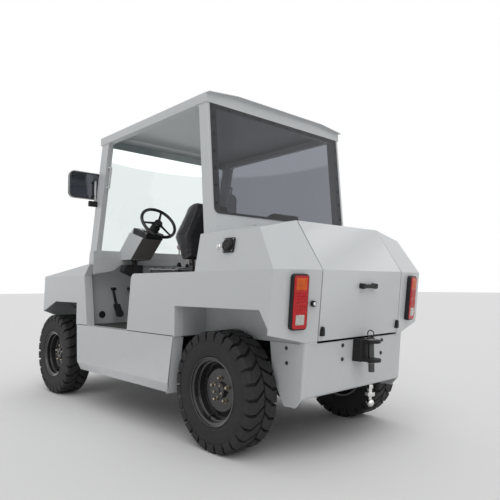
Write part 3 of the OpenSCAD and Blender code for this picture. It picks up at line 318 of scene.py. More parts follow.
# Grime is given as its lower and upper height, amount and colour, wear as radius, amount and colour,
# and grain as scale and depth
mud = (0.16, 0.13, 0.10)
dust = (0.30, 0.28, 0.25)
tyreDust = (0.13, 0.122, 0.115)
bareSteel = (0.22, 0.21, 0.20)
wornRubber = (0.10, 0.095, 0.09)
matte = {"specular": 0.28}
lens = {
    "specular": 0.35, "rough": 0.12, "mottleScale": 40.0, "coat": 0.15, "coatRough": 0.05, "roughVary": 0.04}
pane = {"transmission": 1.0, "ior": 1.45, "mottleScale": 3.0}
looks = {
    "paint": {
        "colour": (0.60, 0.62, 0.635), "rough": 0.30, "coat": 0.25, "coatRough": 0.12, "mottleScale": 2.2,
        "mottleShade": 0.975, "grime": (0.25, 0.95, 0.16, dust), "grain": (420.0, 0.0002), "bump": 0.12},
    # darker copy of the body paint: painted shade on the arch liners, also used for the mirror tubes, with
    # real dust
    "paintInside": {
        "colour": (0.52, 0.54, 0.55), "rough": 0.42, "mottleScale": 3.0, "mottleShade": 0.95,
        "grime": (0.60, 0.90, 0.45, dust), "grain": (420.0, 0.0002), "bump": 0.12},
    "chassis": {
        **matte, "colour": (0.013, 0.013, 0.015), "rough": 0.42, "mottleScale": 9.0, "mottleShade": 0.7,
        "grime": (0.2, 0.7, 0.30, mud), "wear": (0.003, 0.35, bareSteel), "grain": (260.0, 0.0004)},
    "rimPaint": {
        "colour": (0.016, 0.016, 0.018), "rough": 0.15, "coat": 0.4, "coatRough": 0.08, "roughVary": 0.05,
        "mottleScale": 12.0, "mottleShade": 0.75, "grime": (0.1, 0.75, 0.10, mud)},
    "tyre": {
        **matte, "colour": (0.026, 0.026, 0.028), "rough": 0.62, "mottleScale": 14.0, "mottleShade": 0.7,
        "grime": (0.02, 1.1, 0.20, tyreDust), "wear": (0.006, 0.20, wornRubber), "grain": (340.0, 0.0006)},
    "blackPlastic": {
        **matte, "colour": (0.020, 0.020, 0.022), "rough": 0.46, "mottleScale": 11.0, "mottleShade": 0.85,
        "grain": (700.0, 0.0003)},
    "softBlack": {
        **matte, "colour": (0.028, 0.028, 0.030), "rough": 0.58, "mottleScale": 11.0, "mottleShade": 0.85,
        "grain": (520.0, 0.0004)},
    "greyPlastic": {
        **matte, "colour": (0.10, 0.105, 0.11), "rough": 0.50, "mottleScale": 8.0, "mottleShade": 0.9,
        "grain": (600.0, 0.0004)},
    "glossBlack": {
        "colour": (0.018, 0.018, 0.019), "rough": 0.20, "mottleScale": 9.0, "mottleShade": 0.85,
        "roughVary": 0.06},
    # dark brown of the plates on the pod's rear and lower faces: painted shade
    "paintedShadeBrown": {
        "colour": (0.165, 0.152, 0.146), "rough": 0.55, "mottleScale": 8.0, "mottleShade": 0.9,
        "grain": (600.0, 0.0004)},
    # pale grey of the mirrors' rim bead, and of the seat piping, where it is a painted highlight
    "lightPlastic": {"colour": (0.42, 0.43, 0.44), "rough": 0.42, "mottleScale": 8.0, "mottleShade": 0.92},
    "paleKnob": {"colour": (0.62, 0.42, 0.40), "rough": 0.25, "mottleScale": 20.0, "mottleShade": 0.9},
    "rubber": {
        **matte, "colour": (0.016, 0.016, 0.017), "rough": 0.62, "mottleScale": 15.0, "mottleShade": 0.8,
        "grain": (480.0, 0.0003)},
    "vinyl": {
        **matte, "colour": (0.026, 0.026, 0.029), "rough": 0.44, "mottleScale": 7.0, "mottleShade": 0.85,
        "grain": (420.0, 0.0007), "bump": 0.6, "sheen": 0.1},
    "matRubber": {
        **matte, "colour": (0.030, 0.030, 0.031), "rough": 0.72, "mottleScale": 6.0, "mottleShade": 0.75,
        "grime": (0.60, 0.70, 0.5, dust), "grain": (300.0, 0.0006)},
    "steel": {
        "colour": (0.52, 0.51, 0.49), "rough": 0.34, "metallic": 1.0, "mottleScale": 30.0, "mottleShade": 0.7,
        "grain": (200.0, 0.0002)},
    "chrome": {
        "colour": (0.80, 0.80, 0.79), "rough": 0.10, "metallic": 1.0, "mottleScale": 25.0,
        "mottleShade": 0.9},
    "nutZinc": {
        "colour": (0.50, 0.45, 0.36), "rough": 0.26, "metallic": 1.0, "mottleScale": 40.0,
        "mottleShade": 0.6},
    "darkSteel": {
        **matte, "colour": (0.10, 0.10, 0.10), "rough": 0.42, "metallic": 0.8, "mottleScale": 30.0,
        "mottleShade": 0.7},
    "lensRed": {**lens, "colour": (0.56, 0.010, 0.014), "mottleShade": 0.8},
    "lensAmber": {**lens, "colour": (0.75, 0.115, 0.008), "mottleShade": 0.75},
    "lensClear": {
        "colour": (0.62, 0.60, 0.56), "rough": 0.10, "coat": 0.6, "coatRough": 0.05, "roughVary": 0.04,
        "mottleScale": 60.0, "mottleShade": 0.7},
    "clearGlass": {
        **pane, "colour": (0.84, 0.90, 0.89), "rough": 0.02, "mottleShade": 0.985, "roughVary": 0.01},
    "tintedGlass": {
        **pane, "colour": (0.160, 0.170, 0.195), "rough": 0.03, "mottleShade": 0.97, "roughVary": 0.02},
    "mirrorGlass": {
        "colour": (0.22, 0.23, 0.25), "rough": 0.03, "metallic": 1.0, "mottleScale": 3.0, "mottleShade": 0.97,
        "roughVary": 0.01},
}
materials = {name: makeMaterial(name, look) for name, look in looks.items()}
stageDone("materials")

# Making pieces

slotOf = {entry["node"]: entry["material_slot"] for entry in frame["record"]["subparts"]}
nodeLook = {
    "join": 1e-5,  # distance at which two corners are one
    "flat": 0.6,  # degrees between triangles of one panel
    "foldAngle": 8,  # from this angle on an edge is a bend in the sheet
    "edgeAngle": 75,  # and from this one the sheet's cut edge
    "cutAngle": 30,  # the same on a piece without bends
}


def finishPiece(name, bm, material, body, replaces=(), slot=None, smoothAngle=35, flat=False):
    mesh = bpy.data.meshes.new(name)
    bmesh.ops.recalc_face_normals(bm, faces=bm.faces)
    bm.to_mesh(mesh)
    bm.free()
    mesh.materials.append(materials[material])
    if not flat:
        mesh.shade_smooth()
        mesh.set_sharp_from_angle(angle=math.radians(smoothAngle))
    piece = bpy.data.objects.new(name, mesh)
    scene.collection.objects.link(piece)
    if not flat:
        change = piece.modifiers.new("flatFaces", "WEIGHTED_NORMAL")
        change.keep_sharp = True
    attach(piece, body)
    if replaces:
        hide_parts(*replaces)
        slot = slot or slotOf[replaces[0]]
    return piece


# Finishes pieces of the chassis from rows of name, shape, material and the nodes that it replaces
def finishSet(rows, slot, mirrored=False):
    for name, bm, material, *nodes in rows:
        if mirrored:
            mirrorAcross(bm)
        finishPiece(name, bm, material, "chassis", nodes, slot)


def newShapes(count):
    return [bmesh.new() for _ in range(count)]


def bodyOf(node):
    return frame["nodes"][node]["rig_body"]


def everything(bm):
    return bm.verts[:] + bm.edges[:] + bm.faces[:]


def bevelEdges(bm, edges, width, segments=2):
    if edges and width:
        bmesh.ops.bevel(bm, geom=edges, offset=width, offset_type="OFFSET", segments=segments, profile=0.5,
                        affect="EDGES", clamp_overlap=True, material=-1)


def sharpEdges(bm, low, high=180):
    pairs = [edge for edge in bm.edges if len(edge.link_faces) == 2]
    return [edge for edge in pairs if low < math.degrees(edge.calc_face_angle(0)) <= high]


def splitLargeFaces(bm):
    bmesh.ops.triangulate(bm, faces=[f for f in bm.faces if len(f.verts) > 4])


# A copy of a node's mesh, or of the part of it to keep, with its triangles joined into panels
def nodeShape(node, keep=None):
    bm = bmesh.new()
    bm.from_mesh(frame["nodes"][node].data)
    bmesh.ops.remove_doubles(bm, verts=bm.verts, dist=nodeLook["join"])
    if keep:
        bmesh.ops.delete(bm, geom=[v for v in bm.verts if not keep(v.co)], context="VERTS")
    bmesh.ops.dissolve_limit(bm, angle_limit=math.radians(nodeLook["flat"]), verts=bm.verts, edges=bm.edges)
    return bm


# Rounds the folds and the cut edges of a node's copy
def dressNode(node, material, fold=0.0, edge=0.0015, segments=2, flat=False):
    bm = nodeShape(node)
    if fold:
        bevelEdges(bm, sharpEdges(bm, nodeLook["foldAngle"], nodeLook["edgeAngle"]), fold, 3)
    bevelEdges(bm, sharpEdges(bm, nodeLook["edgeAngle" if fold else "cutAngle"]), edge, segments)
    splitLargeFaces(bm)
    return finishPiece(node + "_finish", bm, material, bodyOf(node), [node], flat=flat)


# Shapes that several pieces are made of


# A place whose z axis points along axis, and whose x axis lies as near to side as it can
def placeAt(origin, axis=upwards, side=forwards):
    up = Vector(axis).normalized()
    along = Vector(side).normalized()
    if abs(along.dot(up)) > 0.99:
        along = Vector(leftwards)
    along = (along - up * along.dot(up)).normalized()
    turn = Matrix((along, up.cross(along), up)).transposed()
    return Matrix.Translation(origin) @ turn.to_4x4()


def uprightAt(x, y, z):
    return Matrix.Translation(at(x, y, z))


# A place moved along its own axes
def shifted(place, x, y, z):
    return place @ Matrix.Translation((x, y, z))


def addBox(bm, place, size, edge=0.0, segments=2):
    made = bmesh.ops.create_cube(bm, size=1, matrix=place @ Matrix.Diagonal((*size, 1)))
    bevelEdges(bm, list({e for v in made["verts"] for e in v.link_edges}), edge, segments)


def addRod(bm, start, end, radius, segments=24, edge=0.0):
    start, end = Vector(start), Vector(end)
    made = bmesh.ops.create_cone(bm, cap_ends=True, segments=segments, radius1=radius, radius2=radius,
                                 depth=(end - start).length, matrix=placeAt((start + end) / 2, end - start))
    rims = {e for v in made["verts"] for e in v.link_edges if any(len(f.verts) != 4 for f in e.link_faces)}
    bevelEdges(bm, list(rims), edge, 2)


# Turns a profile of (radius, height) pairs about the place's z axis
def addLathe(bm, profile, place, segments=48, ring=False):
    before = set(bm.verts)
    verts = [bm.verts.new(place @ Vector((radius, 0, height))) for radius, height in profile]
    pairs = zip(verts, verts[1:] + verts[:1]) if ring else zip(verts, verts[1:])
    edges = [bm.edges.new(pair) for pair in pairs]
    bmesh.ops.spin(bm, geom=verts + edges, cent=place.translation, axis=place.col[2].to_3d(), angle=math.tau,
                   steps=segments, use_merge=True)
    bmesh.ops.remove_doubles(bm, verts=[v for v in bm.verts if v not in before], dist=1e-6)


def moveAlong(bm, place, verts, height):
    bmesh.ops.translate(bm, verts=verts, vec=place.to_3x3() @ Vector((0, 0, height)))


# Extrudes an outline of (x, y) pairs along the place's z axis, and gives its corners and its top face
def raised(bm, outline, place, depth):
    base = [bm.verts.new(place @ Vector((x, y, 0))) for x, y in outline]
    made = bmesh.ops.extrude_face_region(bm, geom=[bm.faces.new(base)])["geom"]
    top = [v for v in made if isinstance(v, bmesh.types.BMVert)]
    moveAlong(bm, place, top, depth)
    return base + top, [f for f in made if isinstance(f, bmesh.types.BMFace)][0]


def addPlate(bm, outline, place, depth, edge=0.0, segments=2):
    corners, _ = raised(bm, outline, place, depth)
    if edge:
        folds = math.radians(nodeLook["cutAngle"])
        found = {e for v in corners for e in v.link_edges if e.calc_face_angle(0) > folds}
        bevelEdges(bm, list(found), edge, segments)


# A plate whose top narrows in steps of (inset, height)
def addStepped(bm, outline, place, depth, steps):
    _, top = raised(bm, outline, place, depth)
    for inset, height in steps:
        bmesh.ops.inset_region(bm, faces=[top], thickness=inset, use_even_offset=True)
        moveAlong(bm, place, list(top.verts), height)


def roundedBox(width, height, radius, steps=5):
    points = []
    for turn, (x, y) in enumerate(((1, 1), (-1, 1), (-1, -1), (1, -1))):
        for step in range(steps + 1):
            angle = math.radians(90 * (turn + step / steps))
            points.append((x * (width / 2 - radius) + radius * math.cos(angle),
                           y * (height / 2 - radius) + radius * math.sin(angle)))
    return points


# Rounds the corners of a line of points
def bentPath(corners, radius, steps=5):
    corners = [Vector(corner) for corner in corners]
    path = [corners[0]]
    for before, middle, after in zip(corners, corners[1:], corners[2:]):
        start = middle + (before - middle).normalized() * radius
        end = middle + (after - middle).normalized() * radius
        for step in range(steps + 1):
            share = step / steps
            path.append((1 - share) ** 2 * start + 2 * share * (1 - share) * middle + share ** 2 * end)
    return path + [corners[-1]]


def addTube(bm, points, radius, segments=12):
    points = [Vector(point) for point in points]
    ahead = points[1] - points[0]
    before = set(bm.edges)
    start = placeAt(points[0], ahead)
    bmesh.ops.create_circle(bm, cap_ends=True, segments=segments, radius=radius, matrix=start)
    ring = [e for e in bm.edges if e not in before]
    for number in range(1, len(points)):
        following = points[min(number + 1, len(points) - 1)] - points[number - 1]
        turn = ahead.rotation_difference(following).to_matrix().to_4x4()
        made = bmesh.ops.extrude_edge_only(bm, edges=ring)["geom"]
        verts = [v for v in made if isinstance(v, bmesh.types.BMVert)]
        ring = [e for e in made if isinstance(e, bmesh.types.BMEdge)]
        move = Matrix.Translation(points[number]) @ turn @ Matrix.Translation(-points[number - 1])
        bmesh.ops.transform(bm, verts=verts, matrix=move)
        ahead = following
    bmesh.ops.edgeloop_fill(bm, edges=ring)


def addDome(bm, place, radius, height, rings=5, segments=24, foot=0.0):
    profile = [(0, -foot), (radius, -foot)] if foot else [(0, 0)]
    for step in range(rings + 1):
        angle = math.radians(90 * step / rings)
        profile.append((radius * math.cos(angle), height * math.sin(angle)))
    addLathe(bm, profile, place, segments)


# Bolt head on its washer
def addHexBolt(bm, place, radius, height):
    washer = [(0, -0.002), (1.45, -0.002), (1.45, 0.0018), (1.30, 0.0026), (0, 0.0026)]
    addLathe(bm, [(radius * share, up) for share, up in washer], place, 24)
    start, end = place @ Vector((0, 0, 0.002)), place @ Vector((0, 0, height))
    addRod(bm, start, end, radius, segments=6, edge=radius * 0.12)


def mirrorAcross(bm):
    bmesh.ops.mirror(bm, geom=everything(bm), matrix=Matrix(), merge_dist=0, axis="Y")


def copyOf(bm):
    made = bmesh.new()
    mesh = bpy.data.meshes.new("copy")
    bm.to_mesh(mesh)
    made.from_mesh(mesh)
    bpy.data.meshes.remove(mesh)
    return made


def joinInto(bm, other):
    mesh = bpy.data.meshes.new("join")
    other.to_mesh(mesh)
    other.free()
    bm.from_mesh(mesh)
    bpy.data.meshes.remove(mesh)


# Stage

stageLook = {"floor": (0.80, 0.80, 0.80), "rough": 0.9, "size": 60.0}


def makeFloor(look):
    bm = bmesh.new()
    bmesh.ops.create_grid(bm, x_segments=1, y_segments=1, size=look["size"])
    mesh = bpy.data.meshes.new("floor")
    bm.to_mesh(mesh)
    bm.free()
    material = bpy.data.materials.new("floor")
    material.use_nodes = True
    shader = material.node_tree.nodes["Principled BSDF"]
    shader.inputs["Base Color"].default_value = (*look["floor"], 1)
    shader.inputs["Roughness"].default_value = look["rough"]
    mesh.materials.append(material)
    floor = bpy.data.objects.new("floor", mesh)
    scene.collection.objects.link(floor)


makeFloor(stageLook)

lightLook = {
    "world": 0.38,
    "seen": 1.0,  # strength of the world for the camera, in glass and in reflections
    "suns": [
        # direction towards the lamp, strength, angle of its disc in degrees
        ((-0.55, 0.35, 1.0), 1.25, 70.0),
        ((0.6, -0.5, 1.0), 0.55, 80.0),
    ],
}


def makeLights(look):
    world = bpy.data.worlds.new("studio")
    scene.world = world
    world.use_nodes = True
    tree = world.node_tree
    background = tree.nodes["Background"]
    background.inputs["Color"].default_value = (1, 1, 1, 1)
    path = addNode(tree, "ShaderNodeLightPath")
    seen = mathNode(tree, "MAXIMUM", path.outputs["Is Camera Ray"], path.outputs["Is Transmission Ray"])
    seen = mathNode(tree, "MAXIMUM", seen, path.outputs["Is Glossy Ray"])
    ends = {"To Min": look["world"], "To Max": look["seen"]}
    strength = addNode(tree, "ShaderNodeMapRange", ends, Value=seen)
    tree.links.new(strength.outputs["Result"], background.inputs["Strength"])
    for number, (towards, strength, angle) in enumerate(look["suns"]):
        data = bpy.data.lights.new(f"sky{number}", "SUN")
        data.energy = strength
        data.angle = math.radians(angle)
        lamp = bpy.data.objects.new(data.name, data)
        lamp.rotation_euler = Vector(towards).to_track_quat("Z", "Y").to_euler()
        scene.collection.objects.link(lamp)


makeLights(lightLook)
scene.view_settings.view_transform = "Standard"
stageDone("stage and camera")

# Body panels and running gear

panelLook = {
    "fold": 0.006,  # outer radius of a bend in the sheet
    "edge": 0.0016,
    "paneEdge": 0.001,
}
foldedPanels = [
    "side_skirts", "side_panel_left", "side_panel_right", "corner_panels", "front_fenders", "nose_panel",
    "cowl", "roof_panel", "rear_bumper", "front_bumper", "rear_hood"]
plainPanels = [
    # node, material, rounding of its edges, segments
    ("cab_side_left", "paint", 0.004, 3),
    ("cab_side_right", "paint", 0.004, 3),
    ("cab_rear_frame", "paint", 0.004, 3),
    # the arch liners take the darker copy of the paint as painted shade
    ("arch_liners", "paintInside", 0.002, 2),
    ("chassis_frame", "chassis", 0.0025, 2),
    ("rear_axle", "chassis", 0.0025, 2),
    ("front_axle", "chassis", 0.0025, 2),
    ("knuckle_left", "chassis", 0.0025, 2),
    ("knuckle_right", "chassis", 0.0025, 2),
    ("tie_rod", "chassis", 0.001, 2),
    ("leaf_springs", "chassis", 0.0008, 1),
    ("hitch", "chassis", 0.0025, 2),
    ("floor_plate", "matRubber", 0.0015, 2),
    ("seat_base", "greyPlastic", 0.01, 3),
    ("battery_pack", "blackPlastic", 0.004, 2),
    ("console", "paint", 0.002, 2),
    ("steering_column", "blackPlastic", 0.002, 2),
]
for node in foldedPanels:
    dressNode(node, "paint", panelLook["fold"], panelLook["edge"])
for node, material, edge, segments in plainPanels:
    dressNode(node, material, 0.0, edge, segments)
for node, material in (("windscreen", "clearGlass"), ("rear_window", "tintedGlass")):
    dressNode(node, material, 0.0, panelLook["paneEdge"], 1, flat=True)
stageDone("panels")

# Thin sheet trim

trimLook = {
    "sheet": 0.0030,  # its thickness
    "skirtRear": [
        # length and height down the skirt's rear edge
        (0.3530, 0.6540), (0.4060, 0.3540), (0.4190, 0.2860)],
    "skirtIn": 0.662,  # how far in the skirt's rear flange reaches
    "skirtOut": 0.7475,
    "apronX": 1.5040,
    "apron": [
        # sideways place and height of the dash's lower edge
        (0.738, 1.074), (0.713, 1.077), (0.559, 1.105), (0.489, 1.156), (-0.489, 1.156), (-0.559, 1.105),
        (-0.713, 1.077), (-0.738, 1.074)],
    "apronTop": 1.262,
    "roofEdge": [(0.679, 2.2040), (0.430, 2.2290), (-0.430, 2.2290), (-0.679, 2.2040)],
    "roofRear": 0.0985,
    "lip": 0.030,
    "lipLap": 0.004,  # how far the lip's foot lies under the roof
    "edge": 0.0006,
    "cornerGap": [(-0.5575, 0.4095), (-0.5435, 0.4970), (-0.5100, 0.4970), (-0.5100, 0.4095)],
    "gapHeights": (0.6535, 0.6690),
}
# dark strips along the seam above the side skirts: painted shade of the seam
shadeStripLook = {
    "height": 0.6575,
    "side": 0.7452,
    "size": (0.0030, 0.0045),
    "rearEnds": (0.001, -0.012),  # how far the rear strip starts and ends past the skirt and the side panel
    "frontStart": 0.002,  # and the front one past the fender
    "edge": 0.0006,
}
shroudLook = {
    "outline": [(0.508, 1.096), (0.489, 1.154), (0.320, 1.154), (0.320, 1.066), (0.410, 1.058)],
    "x": 1.498,
    "depth": 0.075,
    "edge": 0.006,
}


# Points of (sideways, height) as they lie on a plate that faces backwards
def facingBack(points):
    return [(y, -z) for y, z in points]


def makeTrim(look):
    sheet, gap = newShapes(2)
    thick = look["sheet"]
    flange = [(x + thick, z) for x, z in reversed(look["skirtRear"])]
    side = placeAt(at(0, look["skirtOut"], 0), rightwards, forwards)
    addPlate(sheet, look["skirtRear"] + flange, side, look["skirtOut"] - look["skirtIn"])
    mirrorAcross(sheet)
    apron = look["apron"]
    upper = [(apron[-1][0], look["apronTop"]), (apron[0][0], look["apronTop"])]
    back = placeAt(at(look["apronX"], 0, 0), backwards, leftwards)
    addPlate(sheet, facingBack(apron + upper), back, thick)
    roof = facingBack(look["roofEdge"])
    under = [(y, z + thick) for y, z in reversed(roof)]
    back = placeAt(at(look["roofRear"] + look["lipLap"], 0, 0), backwards, leftwards)
    addPlate(sheet, roof + under, back, look["lip"] + look["lipLap"], look["edge"], 1)
    low, high = look["gapHeights"]
    addPlate(gap, look["cornerGap"], uprightAt(0, 0, low), high - low)
    mirrorAcross(gap)
    joinInto(sheet, gap)
    finishPiece("sheetTrim", sheet, "paint", "chassis", (), "body_paint", 20)


# Lays dark strips along the seam above the skirts as painted shade
def makeShadeStrips(look):
    bm = bmesh.new()
    skirtStart, skirtEnd = (corner.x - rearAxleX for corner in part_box("side_skirts"))
    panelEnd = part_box("side_panel_left")[1].x - rearAxleX
    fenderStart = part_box("front_fenders")[0].x - rearAxleX
    past, short = look["rearEnds"]
    for start, end in ((skirtStart + past, panelEnd + short), (fenderStart + look["frontStart"], skirtEnd)):
        middle = uprightAt((start + end) / 2, look["side"], look["height"])
        addBox(bm, middle, (end - start, *look["size"]), look["edge"], 1)
    mirrorAcross(bm)
    finishPiece("skirtShadeStrips", bm, "rubber", "chassis", (), "black_plastic")


def makeColumnShroud(look):
    bm = bmesh.new()
    back = placeAt(at(look["x"], 0, 0), backwards, leftwards)
    addPlate(bm, facingBack(look["outline"]), back, look["depth"], look["edge"], 3)
    finishPiece("columnShroud", bm, "softBlack", "chassis", (), "black_plastic")


makeTrim(trimLook)
makeShadeStrips(shadeStripLook)
makeColumnShroud(shroudLook)
stageDone("trim")

# Wheels

wheelNames = ["rear_left", "rear_right", "front_left", "front_right"]
tyreLook = {
    "radius": (tyreHigh.z - tyreLow.z) / 2,
    "half": (tyreHigh.y - tyreLow.y) / 2,
    "bead": 0.2046,
    "sidewall": [
        # radius past the bead, and distance from the wheel's middle
        (0, 0.088), (0.0015, 0.0975), (0.007, 0.1015), (0.011, 0.1003), (0.014, 0.1028), (0.021, 0.1036),
        (0.023, 0.1024), (0.027, 0.1045)],
    "shoulder": [
        # radius, and distance in from the widest place
        (0.262, 0.0004), (0.284, 0.0006), (0.298, 0.0022), (0.314, 0.0065), (0.326, 0.0150)],
    "crownIn": 0.0280,  # where the crown between the lugs starts, in from the widest place
    "crownOut": 0.030,  # and its distance from the middle at the next ring
    "steps": 104,
    "lugs": 26,  # on each shoulder
    "lugShare": 0.77,  # of the distance from lug to lug
    "lugFoot": 0.004,  # how far a lug reaches into the tyre
    "slant": 0.044,  # how far a lug leans round the tyre on its way to the middle
    "bend": 0.060,  # distance from the middle at which a lug starts to lean
    "middle": 0.0045,
    "groove": 0.021,
    "chamfer": 0.014,
    "sideFoot": 0.052,  # how far a lug reaches down the sidewall
    "edge": 0.003,
}


def tyreShape(look):
    radius, half, bead, groove = (look[key] for key in ("radius", "half", "bead", "groove"))
    base = radius - groove
    wall = [(bead + out, y) for out, y in look["sidewall"]]
    wall += [(r, half - inset) for r, inset in look["shoulder"]]
    wall += [(base, half - look["crownIn"]), (base, look["crownOut"])]
    bm, lugs = newShapes(2)
    section = wall + [(r, -y) for r, y in reversed(wall)]
    addLathe(bm, section, placeAt((0, 0, 0), leftwards), look["steps"], ring=True)
    reach = look["lugShare"] * math.tau * radius / look["lugs"] / 2
    slant, bend, middle = look["slant"], look["bend"], look["middle"]
    outline = [(-reach, half), (-reach, bend), (slant - reach, middle), (slant + reach, middle),
               (reach, bend), (reach, half)]
    addPlate(lugs, outline, placeAt((0, 0, base - look["lugFoot"])), groove + look["lugFoot"])
    rims = [e for e in lugs.edges if all(v.co.z > radius - 1e-5 for v in e.verts)]
    bevelEdges(lugs, rims, look["edge"], 2)
    edge = half - look["chamfer"]
    for point, normal in (((0, edge, 0), leftwards), ((0, 0, 0), forwards), ((slant, 0, 0), forwards)):
        bmesh.ops.bisect_plane(lugs, geom=everything(lugs), plane_co=point, plane_no=normal)
    # The straight lug is laid round the tyre, and its end slopes down the sidewall
    for vert in lugs.verts:
        along, across, height = vert.co
        past = max(0.0, across - edge)
        if height < base:
            height -= (look["sideFoot"] - groove) * past / look["chamfer"]
        else:
            height -= past
        turn = along / radius
        vert.co = (height * math.sin(turn), across, height * math.cos(turn))
    last = look["lugs"] - 1
    bmesh.ops.spin(lugs, geom=everything(lugs), cent=(0, 0, 0), axis=leftwards, steps=last,
                   angle=math.tau * last / look["lugs"], use_duplicate=True)
    other = copyOf(lugs)
    halfPitch = Matrix.Rotation(math.pi / look["lugs"], 4, "Y")
    bmesh.ops.transform(other, verts=other.verts, matrix=halfPitch @ Matrix.Diagonal((1, -1, 1, 1)))
    joinInto(bm, lugs)
    joinInto(bm, other)
    return bm


rimLook = {
    "profile": [
        # radius and distance from the wheel's middle, from the outer lip to the hub and back inside
        (0.2042, 0.0950), (0.2042, 0.0985), (0.2025, 0.1004), (0.1995, 0.1004), (0.1968, 0.0985),
        (0.1950, 0.0925), (0.1905, 0.0895), (0.1832, 0.0885), (0.1808, 0.0865), (0.1800, 0.0610),
        (0.1778, 0.0580), (0.1705, 0.0560), (0.1685, 0.0535), (0.1675, 0.0150), (0.1652, 0.0110),
        (0.1600, 0.0098), (0.1555, 0.0115), (0.1300, 0.0262), (0.1268, 0.0290), (0.1232, 0.0294),
        (0.1195, 0.0272), (0.0345, 0.0272), (0.0345, 0.0100), (0.1100, 0.0100), (0.1500, -0.0060),
        (0.1690, -0.0100), (0.1690, -0.0790), (0.1830, -0.0860), (0.1900, -0.0985), (0.2042, -0.0995)],
    "hub": [
        (0, 0.0540), (0.0110, 0.0532), (0.0165, 0.0500), (0.0175, 0.0462), (0.0460, 0.0458), (0.0495, 0.0430),
        (0.0505, 0.0265), (0, 0.0265)],
}
nutLook = {
    "count": 5,
    "disc": 0.0272,  # outer face of the wheel's disc
    "circle": 0.071,
    "radius": 0.0125,
    "height": 0.0170,
    "edge": 0.0016,
    "washer": (1.15, 0.0025),  # share of the nut's radius, and height
    "cap": (0.75, 0.0165, 0.0095),  # share of the nut's radius, foot and height
    "studCircle": 0.0375,
    "studDisc": 0.0455,
    "studNut": (0.0078, 0.0070),  # radius and height
    "stud": (0.0042, 0.0110),
    "fineEdge": 0.0008,
}
valveLook = {
    "path": [(0.060, 0.018, -0.148), (0.061, 0.040, -0.150), (0.064, 0.062, -0.158)],
    "bend": 0.008,
    "radius": 0.0032,
    "cap": [(0.0637, 0.060, -0.1572), (0.0652, 0.070, -0.1610)],
    "capRadius": 0.0045,
    "edge": 0.0008,
}


def rimShape(look):
    bm = bmesh.new()
    axle = placeAt((0, 0, 0), leftwards)
    addLathe(bm, look["profile"], axle, 80, ring=True)
    addLathe(bm, look["hub"], axle, 48)
    return bm


def nutShape(look):
    bm = bmesh.new()
    share, washer = look["washer"]
    capShare, capFoot, capHeight = look["cap"]

    def spotOn(circle, angle, disc):
        return Vector((circle * math.cos(angle), disc, circle * math.sin(angle)))

    def outwards(height):
        return Vector((0, height, 0))

    for number in range(look["count"]):
        angle = math.radians(90 + number * 360 / look["count"])
        foot = spotOn(look["circle"], angle, look["disc"])
        addRod(bm, foot, foot + outwards(washer), look["radius"] * share, edge=look["fineEdge"])
        addRod(bm, foot, foot + outwards(look["height"]), look["radius"], segments=6, edge=look["edge"])
        cap = placeAt(foot + outwards(capFoot), leftwards)
        addDome(bm, cap, look["radius"] * capShare, capHeight, 4, 16)
        foot = spotOn(look["studCircle"], angle + math.pi / look["count"], look["studDisc"])
        for (radius, height), segments in ((look["studNut"], 6), (look["stud"], 12)):
            addRod(bm, foot, foot + outwards(height), radius, segments=segments, edge=look["fineEdge"])
    return bm


def valveShape(look):
    bm = bmesh.new()
    addTube(bm, bentPath(look["path"], look["bend"]), look["radius"], 10)
    addRod(bm, *look["cap"], look["capRadius"], segments=12, edge=look["edge"])
    return bm


def makeWheels():
    shapes = {
        # shape, material, and the start of the names of the nodes that it replaces
        "tyreTread": (tyreShape(tyreLook), "tyre", "tyre"),
        "rimShell": (rimShape(rimLook), "rimPaint", "rim"),
        "wheelNuts": (nutShape(nutLook), "nutZinc", None),
        "wheelValve": (valveShape(valveLook), "darkSteel", None),
    }
    for wheel in wheelNames:
        low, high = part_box("tyre_" + wheel)
        flip = Matrix.Diagonal((1, -1 if wheel.endswith("right") else 1, 1, 1))
        place = Matrix.Translation((low + high) / 2) @ flip
        rim = "rim_" + wheel
        for name, (shape, material, node) in shapes.items():
            bm = copyOf(shape)
            bmesh.ops.transform(bm, verts=bm.verts, matrix=place)
            replaced = [f"{node}_{wheel}"] if node else []
            finishPiece(f"{name}_{wheel}", bm, material, bodyOf(rim), replaced, None if node else slotOf[rim])
    for shape, _, _ in shapes.values():
        shape.free()


makeWheels()
stageDone("wheels")

# Tail lamps

tailLook = {
    "centre": (-0.5587, 0.5729, 0.8930),  # on the corner's face
    "turn": 9.6,  # of the corner, in degrees
    "lean": 0.1095,  # run of the face over its rise
    "size": (0.111, 0.302),
    "corner": 0.022,
    "body": 0.027,
    "edge": 0.004,
    "lens": (0.097, 0.286),
    "lensCorner": 0.015,
    "lensDepth": 0.0065,
    "lensEdge": 0.003,
    "lap": 0.001,  # how far a layer reaches into the one below it
    "fieldFoot": 0.0050,  # height of the coloured fields over the housing
    "fieldRim": 0.016,
    "field": {"corner": 0.004, "depth": 0.0022, "edge": 0.0008, "margin": 0.002, "face": 0.0013},
    "cells": 6,  # across the lens
    "cellRim": 0.16,  # share of a cell that is its border
    "cellHeight": 0.0022,
    "rows": [
        # lower and upper end as shares of the lens, colour, share of the width
        (0.075, 0.265, "lensClear", 0.72),
        (0.280, 0.490, "lensRed", 1.0),
        (0.500, 0.715, "lensRed", 1.0),
        (0.725, 0.955, "lensAmber", 0.88)],
}


# A place on the corner's face, which is turned and leans
def cornerPlace(point, look):
    turn = math.radians(look["turn"])
    out = Vector((-math.cos(turn), math.sin(turn), -look["lean"]))
    return placeAt(at(*point), out, (-math.sin(turn), -math.cos(turn), 0))


